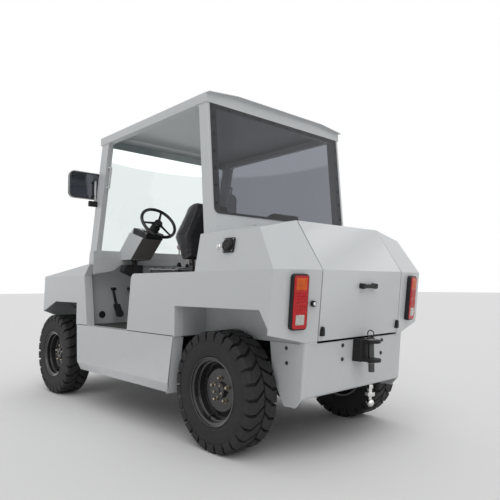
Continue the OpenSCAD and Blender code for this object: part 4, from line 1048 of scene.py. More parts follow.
def addLensCells(bm, place, low, high, height, cell, look):
    wide, tall = high[0] - low[0], high[1] - low[1]
    across, up = max(1, round(wide / cell)), max(1, round(tall / cell))
    middle = shifted(place, (low[0] + high[0]) / 2, (low[1] + high[1]) / 2, height)
    shape = middle @ Matrix.Diagonal((wide, tall, 1, 1))
    made = bmesh.ops.create_grid(bm, x_segments=across, y_segments=up, size=0.5, matrix=shape)
    faces = list({f for v in made["verts"] for f in v.link_faces})
    bmesh.ops.inset_individual(bm, faces=faces, thickness=cell * look["cellRim"], use_even_offset=True)
    inner = list({v for f in faces for v in f.verts})
    moveAlong(bm, place, inner, look["cellHeight"])


def makeTailLamps(look):
    place = cornerPlace(look["centre"], look)
    wide, tall = look["lens"]
    housing = bmesh.new()
    glass = {colour: bmesh.new() for colour in ("lensRed", "lensAmber", "lensClear")}
    addPlate(housing, roundedBox(*look["size"], look["corner"]), place, look["body"], look["edge"], 3)
    lip = shifted(place, 0, 0, look["body"] - look["lap"])
    outline = roundedBox(wide, tall, look["lensCorner"])
    addPlate(glass["lensRed"], outline, lip, look["lensDepth"], look["lensEdge"], 3)
    foot = look["body"] + look["fieldFoot"]
    field = look["field"]
    for low, high, colour, share in look["rows"]:
        middle = tall * ((low + high) / 2 - 0.5)
        base = shifted(place, 0, middle, foot - look["lap"])
        width, height = (wide - look["fieldRim"]) * share, (high - low) * tall
        outline = roundedBox(width, height, field["corner"], 3)
        addPlate(glass[colour], outline, base, field["depth"], field["edge"], 1)
        right = width / 2 - field["margin"]
        bottom, top = middle - height / 2 + field["margin"], middle + height / 2 - field["margin"]
        cell = wide / look["cells"]
        addLensCells(glass[colour], place, (-right, bottom), (right, top), foot + field["face"], cell, look)
    mirrorAcross(housing)
    finishPiece("tailLampHousings", housing, "blackPlastic", "chassis", ["tail_lamps"], "black_plastic")
    for colour, bm in glass.items():
        mirrorAcross(bm)
        finishPiece("tailLamp" + colour[4:], bm, colour, "chassis", (), "lamp_lens", 20)


makeTailLamps(tailLook)

# Locks, charging socket and the window's screws

shoulderLean = 10.84  # of the strip over the crease, in degrees


def shoulderPlace(point):
    lean = math.radians(shoulderLean)
    return placeAt(at(*point), (0, math.cos(lean), math.sin(lean)), backwards)


lockLook = {
    "knob": (-0.5875, 0.4745, 0.8800),  # key lock between the lamp and the hood
    "knobCollar": [
        (0, -0.004), (0.0170, -0.004), (0.0170, 0.006), (0.0150, 0.011), (0.0125, 0.012), (0, 0.012)],
    "knobBarrel": [(0, 0.010), (0.0098, 0.010), (0.0098, 0.0150), (0.0080, 0.0170), (0, 0.0170)],
    "lock": (-0.0740, 0.7175, 1.2080),  # key lock beside the charging socket
    "radius": 0.0120,
    "collar": [
        # share of the lock's radius, and height
        (0, -0.004), (1.25, -0.004), (1.25, 0.002), (1, 0.006), (0.82, 0.0065), (0.80, 0.004), (0, 0.004)],
    "barrel": [(0, 0.002), (0.76, 0.002), (0.76, 0.0085), (0.64, 0.0098), (0, 0.0098)],
    "slot": (0.9, 0.16, 0.0008),
    "slotTurn": 35,
    "lip": [(0.0115, 0.001), (0.0165, 0.001), (0.0165, 0.0045), (0.0140, 0.0068), (0.0115, 0.0068)],
}


def makeLocks(look):
    black, chrome = newShapes(2)
    place = cornerPlace(look["knob"], tailLook)
    addLathe(black, look["knobCollar"], place, 32)
    addLathe(chrome, look["knobBarrel"], place, 32)
    place = shoulderPlace(look["lock"])
    radius = look["radius"]
    for bm, key in ((black, "collar"), (chrome, "barrel")):
        addLathe(bm, [(radius * share, height) for share, height in look[key]], place, 32)
    wide, tall, depth = look["slot"]
    turn = Matrix.Rotation(math.radians(look["slotTurn"]), 4, "Z")
    slot = shifted(place, 0, 0, look["barrel"][-1][1]) @ turn
    addBox(black, slot, (radius * wide, radius * tall, depth))
    addLathe(chrome, look["lip"], place, 32, ring=True)
    finishPiece("lockBarrels", chrome, "chrome", "chassis", (), "pin_steel")
    finishPiece("lockCollars", black, "blackPlastic", "chassis", (), "black_plastic")


socketLook = {
    "place": (-0.1720, 0.7170, 1.2110),
    "flange": (0.094, 0.088, 0.012),  # width, height and corner
    "flangeDepth": (-0.001, 0.012, 0.0025),  # foot, depth and rounding
    "throat": [(0, 0.008), (0.0330, 0.008), (0.0330, 0.014), (0.0315, 0.016), (0.0, 0.016)],
    "lid": [
        (0, 0), (0.0300, 0), (0.0325, 0.003), (0.0325, 0.008), (0.0300, 0.0110), (0.0215, 0.0125),
        (0.0195, 0.0105), (0, 0.0105)],
    "lidPlace": (0.002, 0.002, 0.0150),
    "lidTurn": -3,
    "ears": (-0.0370, 0.0130, 0.0140),
    "earSize": (0.0130, 0.0085, 0.0180),
    "pin": (-0.0380, 0.0200, 0.0185),
    "pinRadius": 0.0024,
    "tabs": [
        # place and size of the lid's hinge and of its catch
        ((-0.0340, 0, 0.0200), (0.0170, 0.0160, 0.0070)),
        ((0.0370, 0.0020, 0.0200), (0.0140, 0.0180, 0.0060))],
    "tabEdge": 0.002,
    "screws": (0.0370, 0.0340, 0.0105),
    "screw": (0.0042, 0.0024),  # radius and height
}


def makeSocket(look):
    place = shoulderPlace(look["place"])
    black, grey, steel = newShapes(3)
    foot, depth, edge = look["flangeDepth"]
    addPlate(black, roundedBox(*look["flange"]), shifted(place, 0, 0, foot), depth, edge, 3)
    addLathe(black, look["throat"], place, 48)
    turn = Matrix.Rotation(math.radians(look["lidTurn"]), 4, "Y")
    addLathe(grey, look["lid"], shifted(place, *look["lidPlace"]) @ turn, 48)
    x, y, z = look["ears"]
    for side in (-1, 1):
        addBox(black, shifted(place, x, side * y, z), look["earSize"], look["tabEdge"])
    x, y, z = look["pin"]
    addRod(steel, place @ Vector((x, -y, z)), place @ Vector((x, y, z)), look["pinRadius"], segments=12)
    for spot, size in look["tabs"]:
        addBox(grey, shifted(place, *spot), size, look["tabEdge"])
    x, y, z = look["screws"]
    for turnX in (-1, 1):
        for turnY in (-1, 1):
            addDome(steel, shifted(place, turnX * x, turnY * y, z), *look["screw"], 3, 16, 0.001)
    finishPiece("chargeSocket", black, "blackPlastic", "chassis", ["charge_socket"])
    finishPiece("chargeLid", grey, "softBlack", "chassis", (), "black_plastic")
    finishPiece("chargeScrews", steel, "steel", "chassis", (), "pin_steel")


screwLook = {
    "side": 6,  # screws up each side of the rear window
    "top": 10,
    "inset": 0.019,
    "foot": 0.03,  # height of the lowest stretch without a screw
    "start": 0.35,  # share of a stretch below the lowest screw
    "profile": [
        # share of the screw's radius, and height
        (0, -0.002), (1.25, -0.002), (1.25, 0.0012), (0.98, 0.0018), (0.92, 0.0036), (0.55, 0.0050),
        (0, 0.0054)],
    "radius": 0.0075,
}


# Points spaced along the rear window's two sides and its top, just inside its edge
def windowScrewPlaces(look):
    low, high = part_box("rear_window")
    inset, foot = look["inset"], look["foot"]
    lean = (high.x - low.x) / (high.z - low.z)
    spots = []
    for number in range(look["side"]):
        share = (number + look["start"]) / look["side"]
        height = low.z + foot + (high.z - low.z - foot - inset) * share
        spots += [(low.y + inset, height), (high.y - inset, height)]
    for number in range(look["top"]):
        share = number / (look["top"] - 1)
        spots.append((low.y + inset + (high.y - low.y - 2 * inset) * share, high.z - inset))
    out = Vector((-1, 0, lean)).normalized()
    return [placeAt((low.x + (z - low.z) * lean, y, z), out) for y, z in spots]


def makeWindowScrews(look):
    bm = bmesh.new()
    profile = [(look["radius"] * share, height) for share, height in look["profile"]]
    for place in windowScrewPlaces(look):
        addLathe(bm, profile, place, 20)
    finishPiece("windowScrews", bm, "blackPlastic", "chassis", (), "black_plastic")


makeLocks(lockLook)
makeSocket(socketLook)
makeWindowScrews(screwLook)

# Hood handle and rubber buffers

hoodLook = {
    "face": -0.5961,  # outer face of the tail at the handle's height
    "lean": 0.1095,
    "handleHeight": 0.976,
    "handleY": -0.020,
    "half": 0.075,
    "bar": {"short": 0.020, "tall": 0.023, "corner": 0.006, "foot": 0.018, "depth": 0.014, "edge": 0.004},
    "feet": {"in": 0.013, "size": (0.028, 0.032, 0.007), "foot": -0.003, "depth": 0.036, "edge": 0.004},
    "bufferHeight": 0.7255,
    "bufferY": 0.385,
    "buffer": [
        # outline of a rubber buffer, wide at its foot
        (-0.0140, -0.0270), (0.0140, -0.0270), (0.0130, -0.0050), (0.0105, 0.0120), (0.0060, 0.0230),
        (0.0000, 0.0270), (-0.0060, 0.0230), (-0.0105, 0.0120), (-0.0130, -0.0050)],
    "bufferDepth": (-0.002, 0.020, 0.0045),  # foot, depth and rounding
}


def tailFacePlace(y, z, look):
    lean = look["lean"]
    x = look["face"] - lean * (z - look["handleHeight"])
    return placeAt(at(x, y, z), (-1, 0, -lean), rightwards)


def makeHoodFittings(look):
    handle, buffers = newShapes(2)
    place = tailFacePlace(look["handleY"], look["handleHeight"], look)
    bar, feet = look["bar"], look["feet"]
    outline = roundedBox(2 * look["half"] - bar["short"], bar["tall"], bar["corner"])
    addPlate(handle, outline, shifted(place, 0, 0, bar["foot"]), bar["depth"], bar["edge"], 3)
    for side in (-1, 1):
        end = shifted(place, side * (look["half"] - feet["in"]), 0, feet["foot"])
        addPlate(handle, roundedBox(*feet["size"]), end, feet["depth"], feet["edge"], 3)
    finishPiece("hoodHandle", handle, "blackPlastic", "hood", ["hood_fittings"])
    foot, depth, edge = look["bufferDepth"]
    for side in (-1, 1):
        place = tailFacePlace(side * look["bufferY"], look["bufferHeight"], look)
        addPlate(buffers, look["buffer"], shifted(place, 0, 0, foot), depth, edge, 3)
    finishPiece("hoodBuffers", buffers, "rubber", "hood", (), "black_plastic")


makeHoodFittings(hoodLook)

# Bumper bolts, towing pin and ball

boltLook = {
    "bolts": [
        # sideways place and height on the rear bumper
        (0.162, 0.627), (0.158, 0.545), (-0.252, 0.628), (-0.249, 0.546)],
    "bolt": (0.0085, 0.008),  # radius and height
    "cheekBolts": [(-0.405, 0.627), (-0.406, 0.544)],
    "cheekBolt": (0.0075, 0.007),
    "top": -0.548,  # outer face of the bumper at its top edge
    "topHeight": 0.655,
    "rake": 28 / 290,
}


def makeBumperBolts(look):
    bm = bmesh.new()
    for y, z in look["bolts"]:
        x = look["top"] + (look["topHeight"] - z) * look["rake"]
        addHexBolt(bm, placeAt(at(x, y, z), (-1, 0, -look["rake"])), *look["bolt"])
    low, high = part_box("rear_bumper")
    for x, z in look["cheekBolts"]:
        for side, y in ((1, high.y), (-1, low.y)):
            addHexBolt(bm, placeAt(at(x, y, z), (0, side, 0)), *look["cheekBolt"])
    finishPiece("bumperBolts", bm, "darkSteel", "chassis", (), "pin_steel")


makeBumperBolts(boltLook)

pinLook = {
    "x": -0.633,
    "ballSide": -0.1,  # the node's solids on this side of the middle are the ball's
    "ringFoot": 0.6675,
    "ringHeight": 0.6890,
    "ring": (0.0215, 0.0036),  # radius of the ring and of its wire
    "collar": (0.0185, 0.0290, 0.6552, 0.6585),  # inner and outer radius, lower and upper end
    "clipHeight": 0.5175,
    "clip": [(0.015, -0.024), (0.0185, 0.0), (0.010, 0.026), (0.004, 0.040)],
    "clipBend": 0.010,
    "clipWire": 0.0016,
    "edge": 0.001,
}


# A copy of the part of the pin's node to keep, with its edges rounded
def pinPart(keep, edge):
    bm = nodeShape("hitch_pin", keep)
    bevelEdges(bm, sharpEdges(bm, nodeLook["cutAngle"]), edge, 2)
    splitLargeFaces(bm)
    return bm


def makePinDetails(look):
    def isPin(point):
        return point.y > look["ballSide"] and point.z < look["ringFoot"]

    def isBall(point):
        return point.y < look["ballSide"]

    finishPiece("towingPin", pinPart(isPin, look["edge"]), "darkSteel", "chassis", ["hitch_pin"])
    finishPiece("towBall", pinPart(isBall, look["edge"]), "chrome", "chassis", (), "pin_steel")
    ring, clips = newShapes(2)
    radius, wire = look["ring"]
    turns = [math.tau * number / 12 for number in range(12)]
    circle = [(radius + wire * math.cos(turn), wire * math.sin(turn)) for turn in turns]
    addLathe(ring, circle, placeAt(at(look["x"], 0, look["ringHeight"]), leftwards), 48, ring=True)
    finishPiece("pinRing", ring, "darkSteel", "chassis", (), "pin_steel")
    inner, outer, low, high = look["collar"]
    collar = [(inner, low), (outer, low), (outer, high), (inner, high)]
    addLathe(clips, collar, placeAt(at(look["x"], 0, 0)), 40, ring=True)
    for side in (-1, 1):
        path = [at(look["x"] + side * x, y, look["clipHeight"]) for x, y in look["clip"]]
        addTube(clips, bentPath(path, look["clipBend"]), look["clipWire"], 8)
    finishPiece("pinClip", clips, "steel", "chassis", (), "pin_steel")


makePinDetails(pinLook)
stageDone("lamps, locks and hitch")

# Mirrors

mirrorLook = {
    "middle": (1.6140, 0.7525, 1.8140),  # of the flat side that faces the driver
    "size": (0.305, 0.222),
    "corner": 0.045,
    "cornerSteps": 8,
    "rimDepth": 0.022,
    "steps": [
        # inset and height of the rounded back
        (0.004, 0.010), (0.010, 0.012), (0.016, 0.009), (0.024, 0.004)],
    "glassRim": 0.011,
    "glass": (-0.0012, 0.0030, 0.0006),  # foot, depth and rounding
    "bead": (0.001, 0.0042),  # height and radius of the pale bead on the rim
    "beadPart": (5, 32),  # points of the outline that it follows
    "tube": (1.5900, 0.6900, 1.6510, 1.8560),  # x, y and the two ends' heights
    "tubeRadius": 0.009,
    "tubeEdge": 0.002,
    "clamps": [
        # place, size, rounding and segments
        ((1.6000, 0.6900, 1.7300), (0.030, 0.026, 0.018), 0.003, 2),
        ((1.6000, 0.6900, 1.8500), (0.030, 0.026, 0.018), 0.003, 2),
        ((1.5920, 0.7020, 1.6620), (0.030, 0.086, 0.046), 0.006, 3)],
    "bolts": [(1.5770, 0.6885, 1.6520), (1.5770, 0.6885, 1.6760)],
    "bolt": (0.0045, 0.0045),  # radius and height
}


def makeMirrors(look):
    place = placeAt(at(*look["middle"]), forwards, rightwards)
    wide, tall = look["size"]
    head, glass, rim, tube, clamp = newShapes(5)
    outline = roundedBox(wide, tall, look["corner"], look["cornerSteps"])
    addStepped(head, outline, place, look["rimDepth"], look["steps"])
    inset = look["glassRim"]
    foot, depth, edge = look["glass"]
    pane = roundedBox(wide - 2 * inset, tall - 2 * inset, look["corner"] - inset, look["cornerSteps"])
    addPlate(glass, pane, shifted(place, 0, 0, foot), depth, edge, 1)
    height, radius = look["bead"]
    first, last = look["beadPart"]
    addTube(rim, [place @ Vector((x, y, height)) for x, y in outline[first:last]], radius, 10)
    x, y, low, high = look["tube"]
    addRod(tube, at(x, y, low), at(x, y, high), look["tubeRadius"], edge=look["tubeEdge"])
    for spot, size, edge, segments in look["clamps"]:
        addBox(clamp, uprightAt(*spot), size, edge, segments)
    for spot in look["bolts"]:
        addHexBolt(clamp, placeAt(at(*spot), backwards), *look["bolt"])
    finishSet([
        ("mirrorHeads", head, "softBlack", "mirrors"),
        ("mirrorGlass", glass, "mirrorGlass"),
        ("mirrorRims", rim, "lightPlastic"),
        ("mirrorTubes", tube, "paintInside"),
        ("mirrorClamps", clamp, "blackPlastic"),
    ], "black_plastic", mirrored=True)


makeMirrors(mirrorLook)

# Headlamps

headlampLook = {
    "y": 0.290,
    "z": 0.810,
    "opening": 0.067,
    "bowl": [
        # share of the opening's radius, distance in from there, and distance ahead of the nose
        (1, -0.013, -0.082), (1, -0.013, -0.017), (1, -0.010, -0.0105), (1, -0.006, -0.0085), (1, 0, -0.0105),
        (1, 0.001, -0.0180), (0.82, 0, -0.0440), (0.50, 0, -0.0600), (0, 0, -0.0660), (0, 0, -0.082)],
    "lens": [
        (0, 0, -0.0042), (0.30, 0, -0.0052), (0.60, 0, -0.0079), (0.86, 0, -0.0116), (1, 0.0030, -0.0158),
        (1, 0.0010, -0.0160), (1, 0.0012, -0.0125), (0.86, 0, -0.0082), (0.60, 0, -0.0045),
        (0.30, 0, -0.0018), (0, 0, -0.0008)],
    "bulb": [
        (0, -0.064), (0.0115, -0.064), (0.0115, -0.050), (0.0135, -0.044), (0.0135, -0.030),
        (0.0100, -0.0225), (0, -0.0200)],
}


def makeHeadlamps(look):
    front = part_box("headlamps")[1].x
    place = placeAt((front, look["y"], look["z"]), forwards, leftwards)
    bowl, lens, bulb = newShapes(3)
    for bm, key in ((bowl, "bowl"), (lens, "lens")):
        profile = [(look["opening"] * share - inset, height) for share, inset, height in look[key]]
        addLathe(bm, profile, place, 56)
    addLathe(bulb, look["bulb"], place, 24)
    finishSet([
        ("headlampBowls", bowl, "chrome", "headlamps"),
        ("headlampLenses", lens, "clearGlass"),
        ("headlampBulbs", bulb, "lensClear"),
    ], "lamp_glass", mirrored=True)


makeHeadlamps(headlampLook)

# Steering wheel

steeringLook = {
    "centre": (1.077, 0.395, 1.479),
    "column": 55.0,  # in degrees from upright
    "rim": 0.145,
    "tube": 0.013,
    "underside": 0.94,  # share of the tube's width that is left below
    "tubeSteps": 16,
    "hub": [
        (0.0125, -0.018), (0.030, -0.018), (0.034, -0.012), (0.034, 0.004), (0.031, 0.009), (0.023, 0.0115),
        (0.0215, 0.0100), (0, 0.0110), (0, 0), (0.0125, 0)],
    "spokes": [90, 210, 330],
    "spoke": [
        # distance from the wheel's middle, and half width
        (0.026, 0.0150), (0.060, 0.0100), (0.123, 0.0085), (0.141, 0.0140)],
    "spokeDepth": (-0.0075, 0.0085, 0.0026),  # foot, depth and rounding
}


def makeSteeringWheel(look):
    tilt = math.radians(look["column"])
    axis, side = (-math.sin(tilt), 0, math.cos(tilt)), (math.cos(tilt), 0, math.sin(tilt))
    place = placeAt(at(*look["centre"]), axis, side)
    bm = bmesh.new()
    ring = []
    for step in range(look["tubeSteps"]):
        angle = math.tau * step / look["tubeSteps"]
        grip = look["tube"] * (1.0 if math.sin(angle) > -0.5 else look["underside"])
        ring.append((look["rim"] + grip * math.cos(angle), look["tube"] * math.sin(angle)))
    addLathe(bm, ring, place, 84, ring=True)
    addLathe(bm, look["hub"], place, 40)
    foot, depth, edge = look["spokeDepth"]
    outline = [(x, -y) for x, y in look["spoke"]] + look["spoke"][::-1]
    for angle in look["spokes"]:
        spoke = shifted(place @ Matrix.Rotation(math.radians(angle), 4, "Z"), 0, 0, foot)
        addPlate(bm, outline, spoke, depth, edge, 3)
    finishPiece("steeringWheelRim", bm, "glossBlack", "steering", ["steering_wheel"])


makeSteeringWheel(steeringLook)

# Instrument pod

podLook = {
    "corner": (1.500, 0.395, 1.268),  # scuttle's rear edge, on the pod's middle
    "half": 0.095,
    "top": (-0.138, 0.152),
    "tip": (-0.340, 0.092),
    "rise": (-0.037, 0.035),  # from the top and the tip to the bezel
    "foot": (-0.155, -0.073),
    # plates laid on the pod's rear and lower faces, dark as painted shade
    "faces": [
        # how much shorter than its side a face is, and its depth
        (0.010, 0.0035), (0.008, 0.0030)],
    "face": {"narrower": 0.006, "corner": 0.008, "foot": -0.001, "edge": 0.001},
    "bezel": {"longer": 0.004, "narrower": 0.022, "corner": 0.014, "foot": -0.046, "depth": 0.0450},
    "bezelSteps": [(0.003, 0.0025)],
    # place, outline, and depth with rounding
    "screen": ((0.046, 0, 0.0012), (0.092, 0.128, 0.008), (0.0030, 0.001)),
    "dialPlace": (-0.030, -0.0550, 0.001),
    "dial": [(0, 0), (0.019, 0), (0.019, 0.005), (0.0165, 0.0065), (0.0150, 0.0045), (0, 0.0045)],
    "switches": 4,
    "switch": ((-0.022, -0.0200, 0.001), (0.024, 0.0170, 0.003), (0.0075, 0.0016)),
    "switchStep": 0.0245,
}


# A place on the middle of a side that runs from start to end, and that side's length
def podPlace(look, start, end, out):
    corner = Vector(look["corner"])
    middle = Vector(((start[0] + end[0]) / 2, 0, (start[1] + end[1]) / 2))
    along = Vector((end[0] - start[0], 0, end[1] - start[1]))
    return placeAt(at(*(corner + middle)), out, along), along.length


def makePod(look):
    tip, foot, top = look["tip"], look["foot"], look["top"]
    dark, bezel, screen, buttons = newShapes(4)
    run = Vector(foot) - Vector(tip)
    sides = [(tip, foot, (run.y, 0, -run.x)), (foot, (0, foot[1]), (0, 0, -1))]
    face = look["face"]
    for side, (shorter, depth) in zip(sides, look["faces"]):
        place, length = podPlace(look, *side)
        outline = roundedBox(length - shorter, 2 * look["half"] - face["narrower"], face["corner"])
        addPlate(dark, outline, shifted(place, 0, 0, face["foot"]), depth, face["edge"], 2)
    start, end = Vector(tip) + Vector(look["rise"]), Vector(top) + Vector(look["rise"])
    slope = end - start
    place, length = podPlace(look, start, end, (-slope.y, 0, slope.x))
    size = look["bezel"]
    outline = roundedBox(length + size["longer"], 2 * look["half"] - size["narrower"], size["corner"])
    addStepped(bezel, outline, shifted(place, 0, 0, size["foot"]), size["depth"], look["bezelSteps"])
    spot, outline, depth = look["screen"]
    addPlate(screen, roundedBox(*outline), shifted(place, *spot), *depth, 2)
    addLathe(screen, look["dial"], shifted(place, *look["dialPlace"]), 40)
    (x, y, z), outline, depth = look["switch"]
    for number in range(look["switches"]):
        spot = shifted(place, x, y + look["switchStep"] * number, z)
        addPlate(buttons, roundedBox(*outline), spot, *depth, 2)
    # the dark plates on the pod's driver-facing and lower faces are painted shade
    finishPiece("podShadePlates", dark, "paintedShadeBrown", "chassis", (), "interior_plastic")
    finishSet([
        ("podBezel", bezel, "blackPlastic"),
        ("podScreen", screen, "glossBlack"),
        ("podSwitches", buttons, "greyPlastic"),
    ], "black_plastic")


makePod(podLook)

# Levers

leverLook = {
    "box": [(0.871, 0.6555), (1.220, 0.6555), (1.260, 1.080), (1.230, 1.150), (0.871, 1.090)],
    "boxY": (0.042, 0.154),
    "boxEdge": 0.009,
    "brake": (1.180, 0.120, 1.136),  # foot of the parking brake lever
    "drive": (1.125, 0.076, 1.128),  # foot of the direction lever
    "boots": [(0.026, 0.040), (0.022, 0.034)],  # radius and height
    "rods": [(0.155, 0.0062), (0.100, 0.0070)],  # length and radius
    "pleats": 4,
    "narrowing": 0.55,  # share of a boot's radius that is lost on the way up
    "pleat": 0.82,  # radius between two pleats as a share of theirs
    "brakeKnob": [
        (0, 0.148), (0.0105, 0.148), (0.0125, 0.152), (0.0185, 0.160), (0.0205, 0.171), (0.0180, 0.182),
        (0.0110, 0.1895), (0, 0.1915)],
    "driveGrip": [
        (0, 0.088), (0.0120, 0.088), (0.0140, 0.094), (0.0132, 0.110), (0.0142, 0.130), (0.0135, 0.150),
        (0.0090, 0.1580), (0, 0.1590)],
}


# Pleated rubber sleeve round the foot of a lever
def addBoot(bm, place, radius, height, look):
    profile = [(0, 0), (radius, 0)]
    pleats = look["pleats"]
    for number in range(pleats):
        size = radius * (1 - look["narrowing"] * (number + 0.5) / pleats)
        profile.append((size, height * (number + 0.4) / pleats))
        profile.append((size * look["pleat"], height * (number + 0.9) / pleats))
    addLathe(bm, profile + [(0, height)], place, 28)


def makeLevers(look):
    box, rods, boots, knobs = newShapes(4)
    low, high = look["boxY"]
    addPlate(box, look["box"], placeAt(at(0, high, 0), rightwards, forwards), high - low, look["boxEdge"], 3)
    brake, drive = at(*look["brake"]), at(*look["drive"])
    for foot, boot, (length, radius) in zip((brake, drive), look["boots"], look["rods"]):
        addBoot(boots, Matrix.Translation(foot), *boot, look)
        addRod(rods, foot, foot + Vector((0, 0, length)), radius)
    addLathe(knobs, look["brakeKnob"], Matrix.Translation(brake), 32)
    addLathe(boots, look["driveGrip"], Matrix.Translation(drive), 28)
    finishPiece("leverBox", box, "greyPlastic", "chassis", ["controls"])
    finishSet([
        ("leverRods", rods, "steel"),
        ("leverBoots", boots, "rubber"),
        ("leverKnob", knobs, "paleKnob"),
    ], "black_plastic")


makeLevers(leverLook)

# Pedals

pedalLook = {
    "x": 1.700,  # face of the bulkhead
    "z": 0.655,
    "sides": [0.295, 0.455],
    "slab": (-0.100, 0, 0.115),
    "slabOut": (-0.839, 0, 0.544),
    "slabUp": (0.544, 0, 0.839),
    "tray": (0.118, 0.062, 0.010),
    "trayDepth": (-0.006, 0.0065, 0.0015),  # foot, depth and rounding
    "pad": (0.122, 0.066, 0.012),
    "padDepth": (0.0060, 0.0020),  # depth and rounding
    "ribs": 6,
    "ribPlace": (-0.044, 0, 0.0060),
    "ribStep": 0.0176,
    "rib": (0.0080, 0.0520, 0.0050),
    "ribEdge": 0.0016,
    "stalk": [(-0.088, 0.140), (-0.076, 0.128), (-0.030, 0.212), (0, 0.2850), (0, 0.309), (-0.046, 0.222)],
    "stalkDepth": (0.018, 0.002),
    "pivot": (-0.010, 0.022, 0.297),  # one end of it
    "pivotRadius": 0.0120,
    "pivotEdge": 0.002,
}


def makePedals(look):
    pads, arms = newShapes(2)
    foot, depth, edge = look["trayDepth"]
    width, rounding = look["stalkDepth"]
    for side in look["sides"]:
        origin = at(look["x"], side, look["z"])
        slab = placeAt(origin + Vector(look["slab"]), look["slabOut"], look["slabUp"])
        addPlate(arms, roundedBox(*look["tray"]), shifted(slab, 0, 0, foot), depth, edge)
        addPlate(pads, roundedBox(*look["pad"]), slab, *look["padDepth"])
        x, y, z = look["ribPlace"]
        for number in range(look["ribs"]):
            addBox(pads, shifted(slab, x + look["ribStep"] * number, y, z), look["rib"], look["ribEdge"])
        stalk = placeAt(origin + Vector((0, width / 2, 0)), rightwards, forwards)
        addPlate(arms, look["stalk"], stalk, width, rounding)
        x, y, z = look["pivot"]
        start, end = origin + Vector((x, -y, z)), origin + Vector((x, y, z))
        addRod(arms, start, end, look["pivotRadius"], edge=look["pivotEdge"])
    finishSet([
        ("pedalPads", pads, "rubber"),
        ("pedalArms", arms, "chassis"),
    ], "black_plastic")


makePedals(pedalLook)

# Bulkhead grommets

grommetLook = {
    "places": [(1.700, 0.553, 0.733), (1.700, 0.378, 0.735)],
    "ring": [
        (0.0130, -0.003), (0.0300, -0.003), (0.0300, 0.002), (0.0270, 0.0050), (0.0190, 0.0060),
        (0.0150, 0.0040), (0.0130, 0.001)],
    "plug": [(0, -0.002), (0.0135, -0.002), (0.0135, 0.0015), (0, 0.0015)],
}


def makeGrommets(look):
    bm = bmesh.new()
    for spot in look["places"]:
        place = placeAt(at(*spot), backwards)
        addLathe(bm, look["ring"], place, 36, ring=True)
        addLathe(bm, look["plug"], place, 24)
    finishPiece("bulkheadGrommets", bm, "rubber", "chassis", (), "black_plastic")


makeGrommets(grommetLook)
stageDone("cab fittings")

# Closing strips between the rear window's frame and the shoulders

deckLook = {"x": 0.0490, "sides": (0.405, 0.632), "heights": (1.296, 1.3575), "depth": 0.0025, "edge": 0.0008}


def makeDeckStrips(look):
    bm = bmesh.new()
    inner, outer = look["sides"]
    low, high = look["heights"]
    place = placeAt(at(look["x"], (inner + outer) / 2, (low + high) / 2), backwards, rightwards)
    addBox(bm, place, (outer - inner, high - low, look["depth"]), look["edge"])
    mirrorAcross(bm)
    finishPiece("deckStrips", bm, "paint", "chassis", (), "body_paint")


makeDeckStrips(deckLook)

# Seats

seatLook = {
    "x": 0.395,  # rear face of the backrests
    "y": 0.385,  # sideways distance of a seat's middle
    "z": 1.115,
    "width": 0.450,
    "shrink": 0.009,  # how much smaller a pad starts before it swells
    "cuts": 6,  # across a pad
    "voxel": 0.006,
    "pressure": 4.0,
    "mass": 0.3,
    "stretch": 12,  # stiffness of the cover
    "bending": 0.4,
    "quality": 4,
    "frames": 20,
    "cap": 0.011,
    "held": 0.014,  # height of the strip at a pad's foot that stays still
    "fill": 0.85,
    "cushion": [
        # side outline, forwards and upwards of the seat's rear edge
        (0.107, -0.1142), (0.503, -0.1142), (0.512, -0.040), (0.500, -0.010), (0.470, 0.000), (0.300, -0.004),
        (0.107, -0.014)],
    "back": [
        (0.002, 0.034), (0.060, 0.034), (0.100, 0.075), (0.138, 0.140), (0.162, 0.205), (0.165, 0.235),
        (0.114, 0.400), (0.097, 0.434), (0.060, 0.451), (0.012, 0.452), (-0.020, 0.437), (-0.019, 0.375),
        (0.020, 0.200), (0.001, 0.060)],
    "shoulder": 0.190,  # height from which a backrest narrows
    "head": 0.130,  # half width at its top
    "top": 0.452,
    "taperSteps": 8,
    "taperBend": 1.15,
    "channelDepth": 0.0050,
    "channelWidth": 0.0090,
    "channelBend": 0.7,
    "channelReach": 0.35,  # how far a channel goes round a pad's edge
    "cushionUp": (0, 0, 1),
    "cushionChannels": [
        # a point of the channel's plane, and the plane's normal
        ((0, -0.085, 0), leftwards), ((0, 0.085, 0), leftwards)],
    "backUp": (1, 0, 0.35),
    "backChannels": [((0, -0.080, 0), leftwards), ((0, 0.080, 0), leftwards), ((0, 0, 0.330), (0.25, 0, 1))],
    "seam": 0.0045,
    "seamStep": 0.012,
    "seamLift": 0.25,  # of the piping's middle over the pad, as a share of its radius
    "cushionSeam": [
        # forwards, distance in from the pad's side, upwards
        (0.114, 0.006, -0.010), (0.300, 0.006, -0.002), (0.468, 0.006, 0.0), (0.500, 0.016, -0.014),
        (0.505, 0.036, -0.018)],
    "backSeam": [
        (0.128, 0.006, 0.060), (0.164, 0.006, 0.205), (0.146, 0.01695, 0.290), (0.114, 0.0498, 0.385),
        (0.090, 0.11664, 0.432), (0.080, 0.1494, 0.440)],
    "hinges": [-0.150, 0.150],
    "hinge": [
        (0.020, -0.1140), (0.100, -0.1140), (0.100, -0.095), (0.064, -0.085), (0.062, 0.080), (0.024, 0.080)],
    "hingeDepth": 0.024,
    "hingeEdge": 0.003,
    "hingeBolt": (0.043, 0.012),  # forwards and upwards
    "bolt": (0.008, 0.008),
}


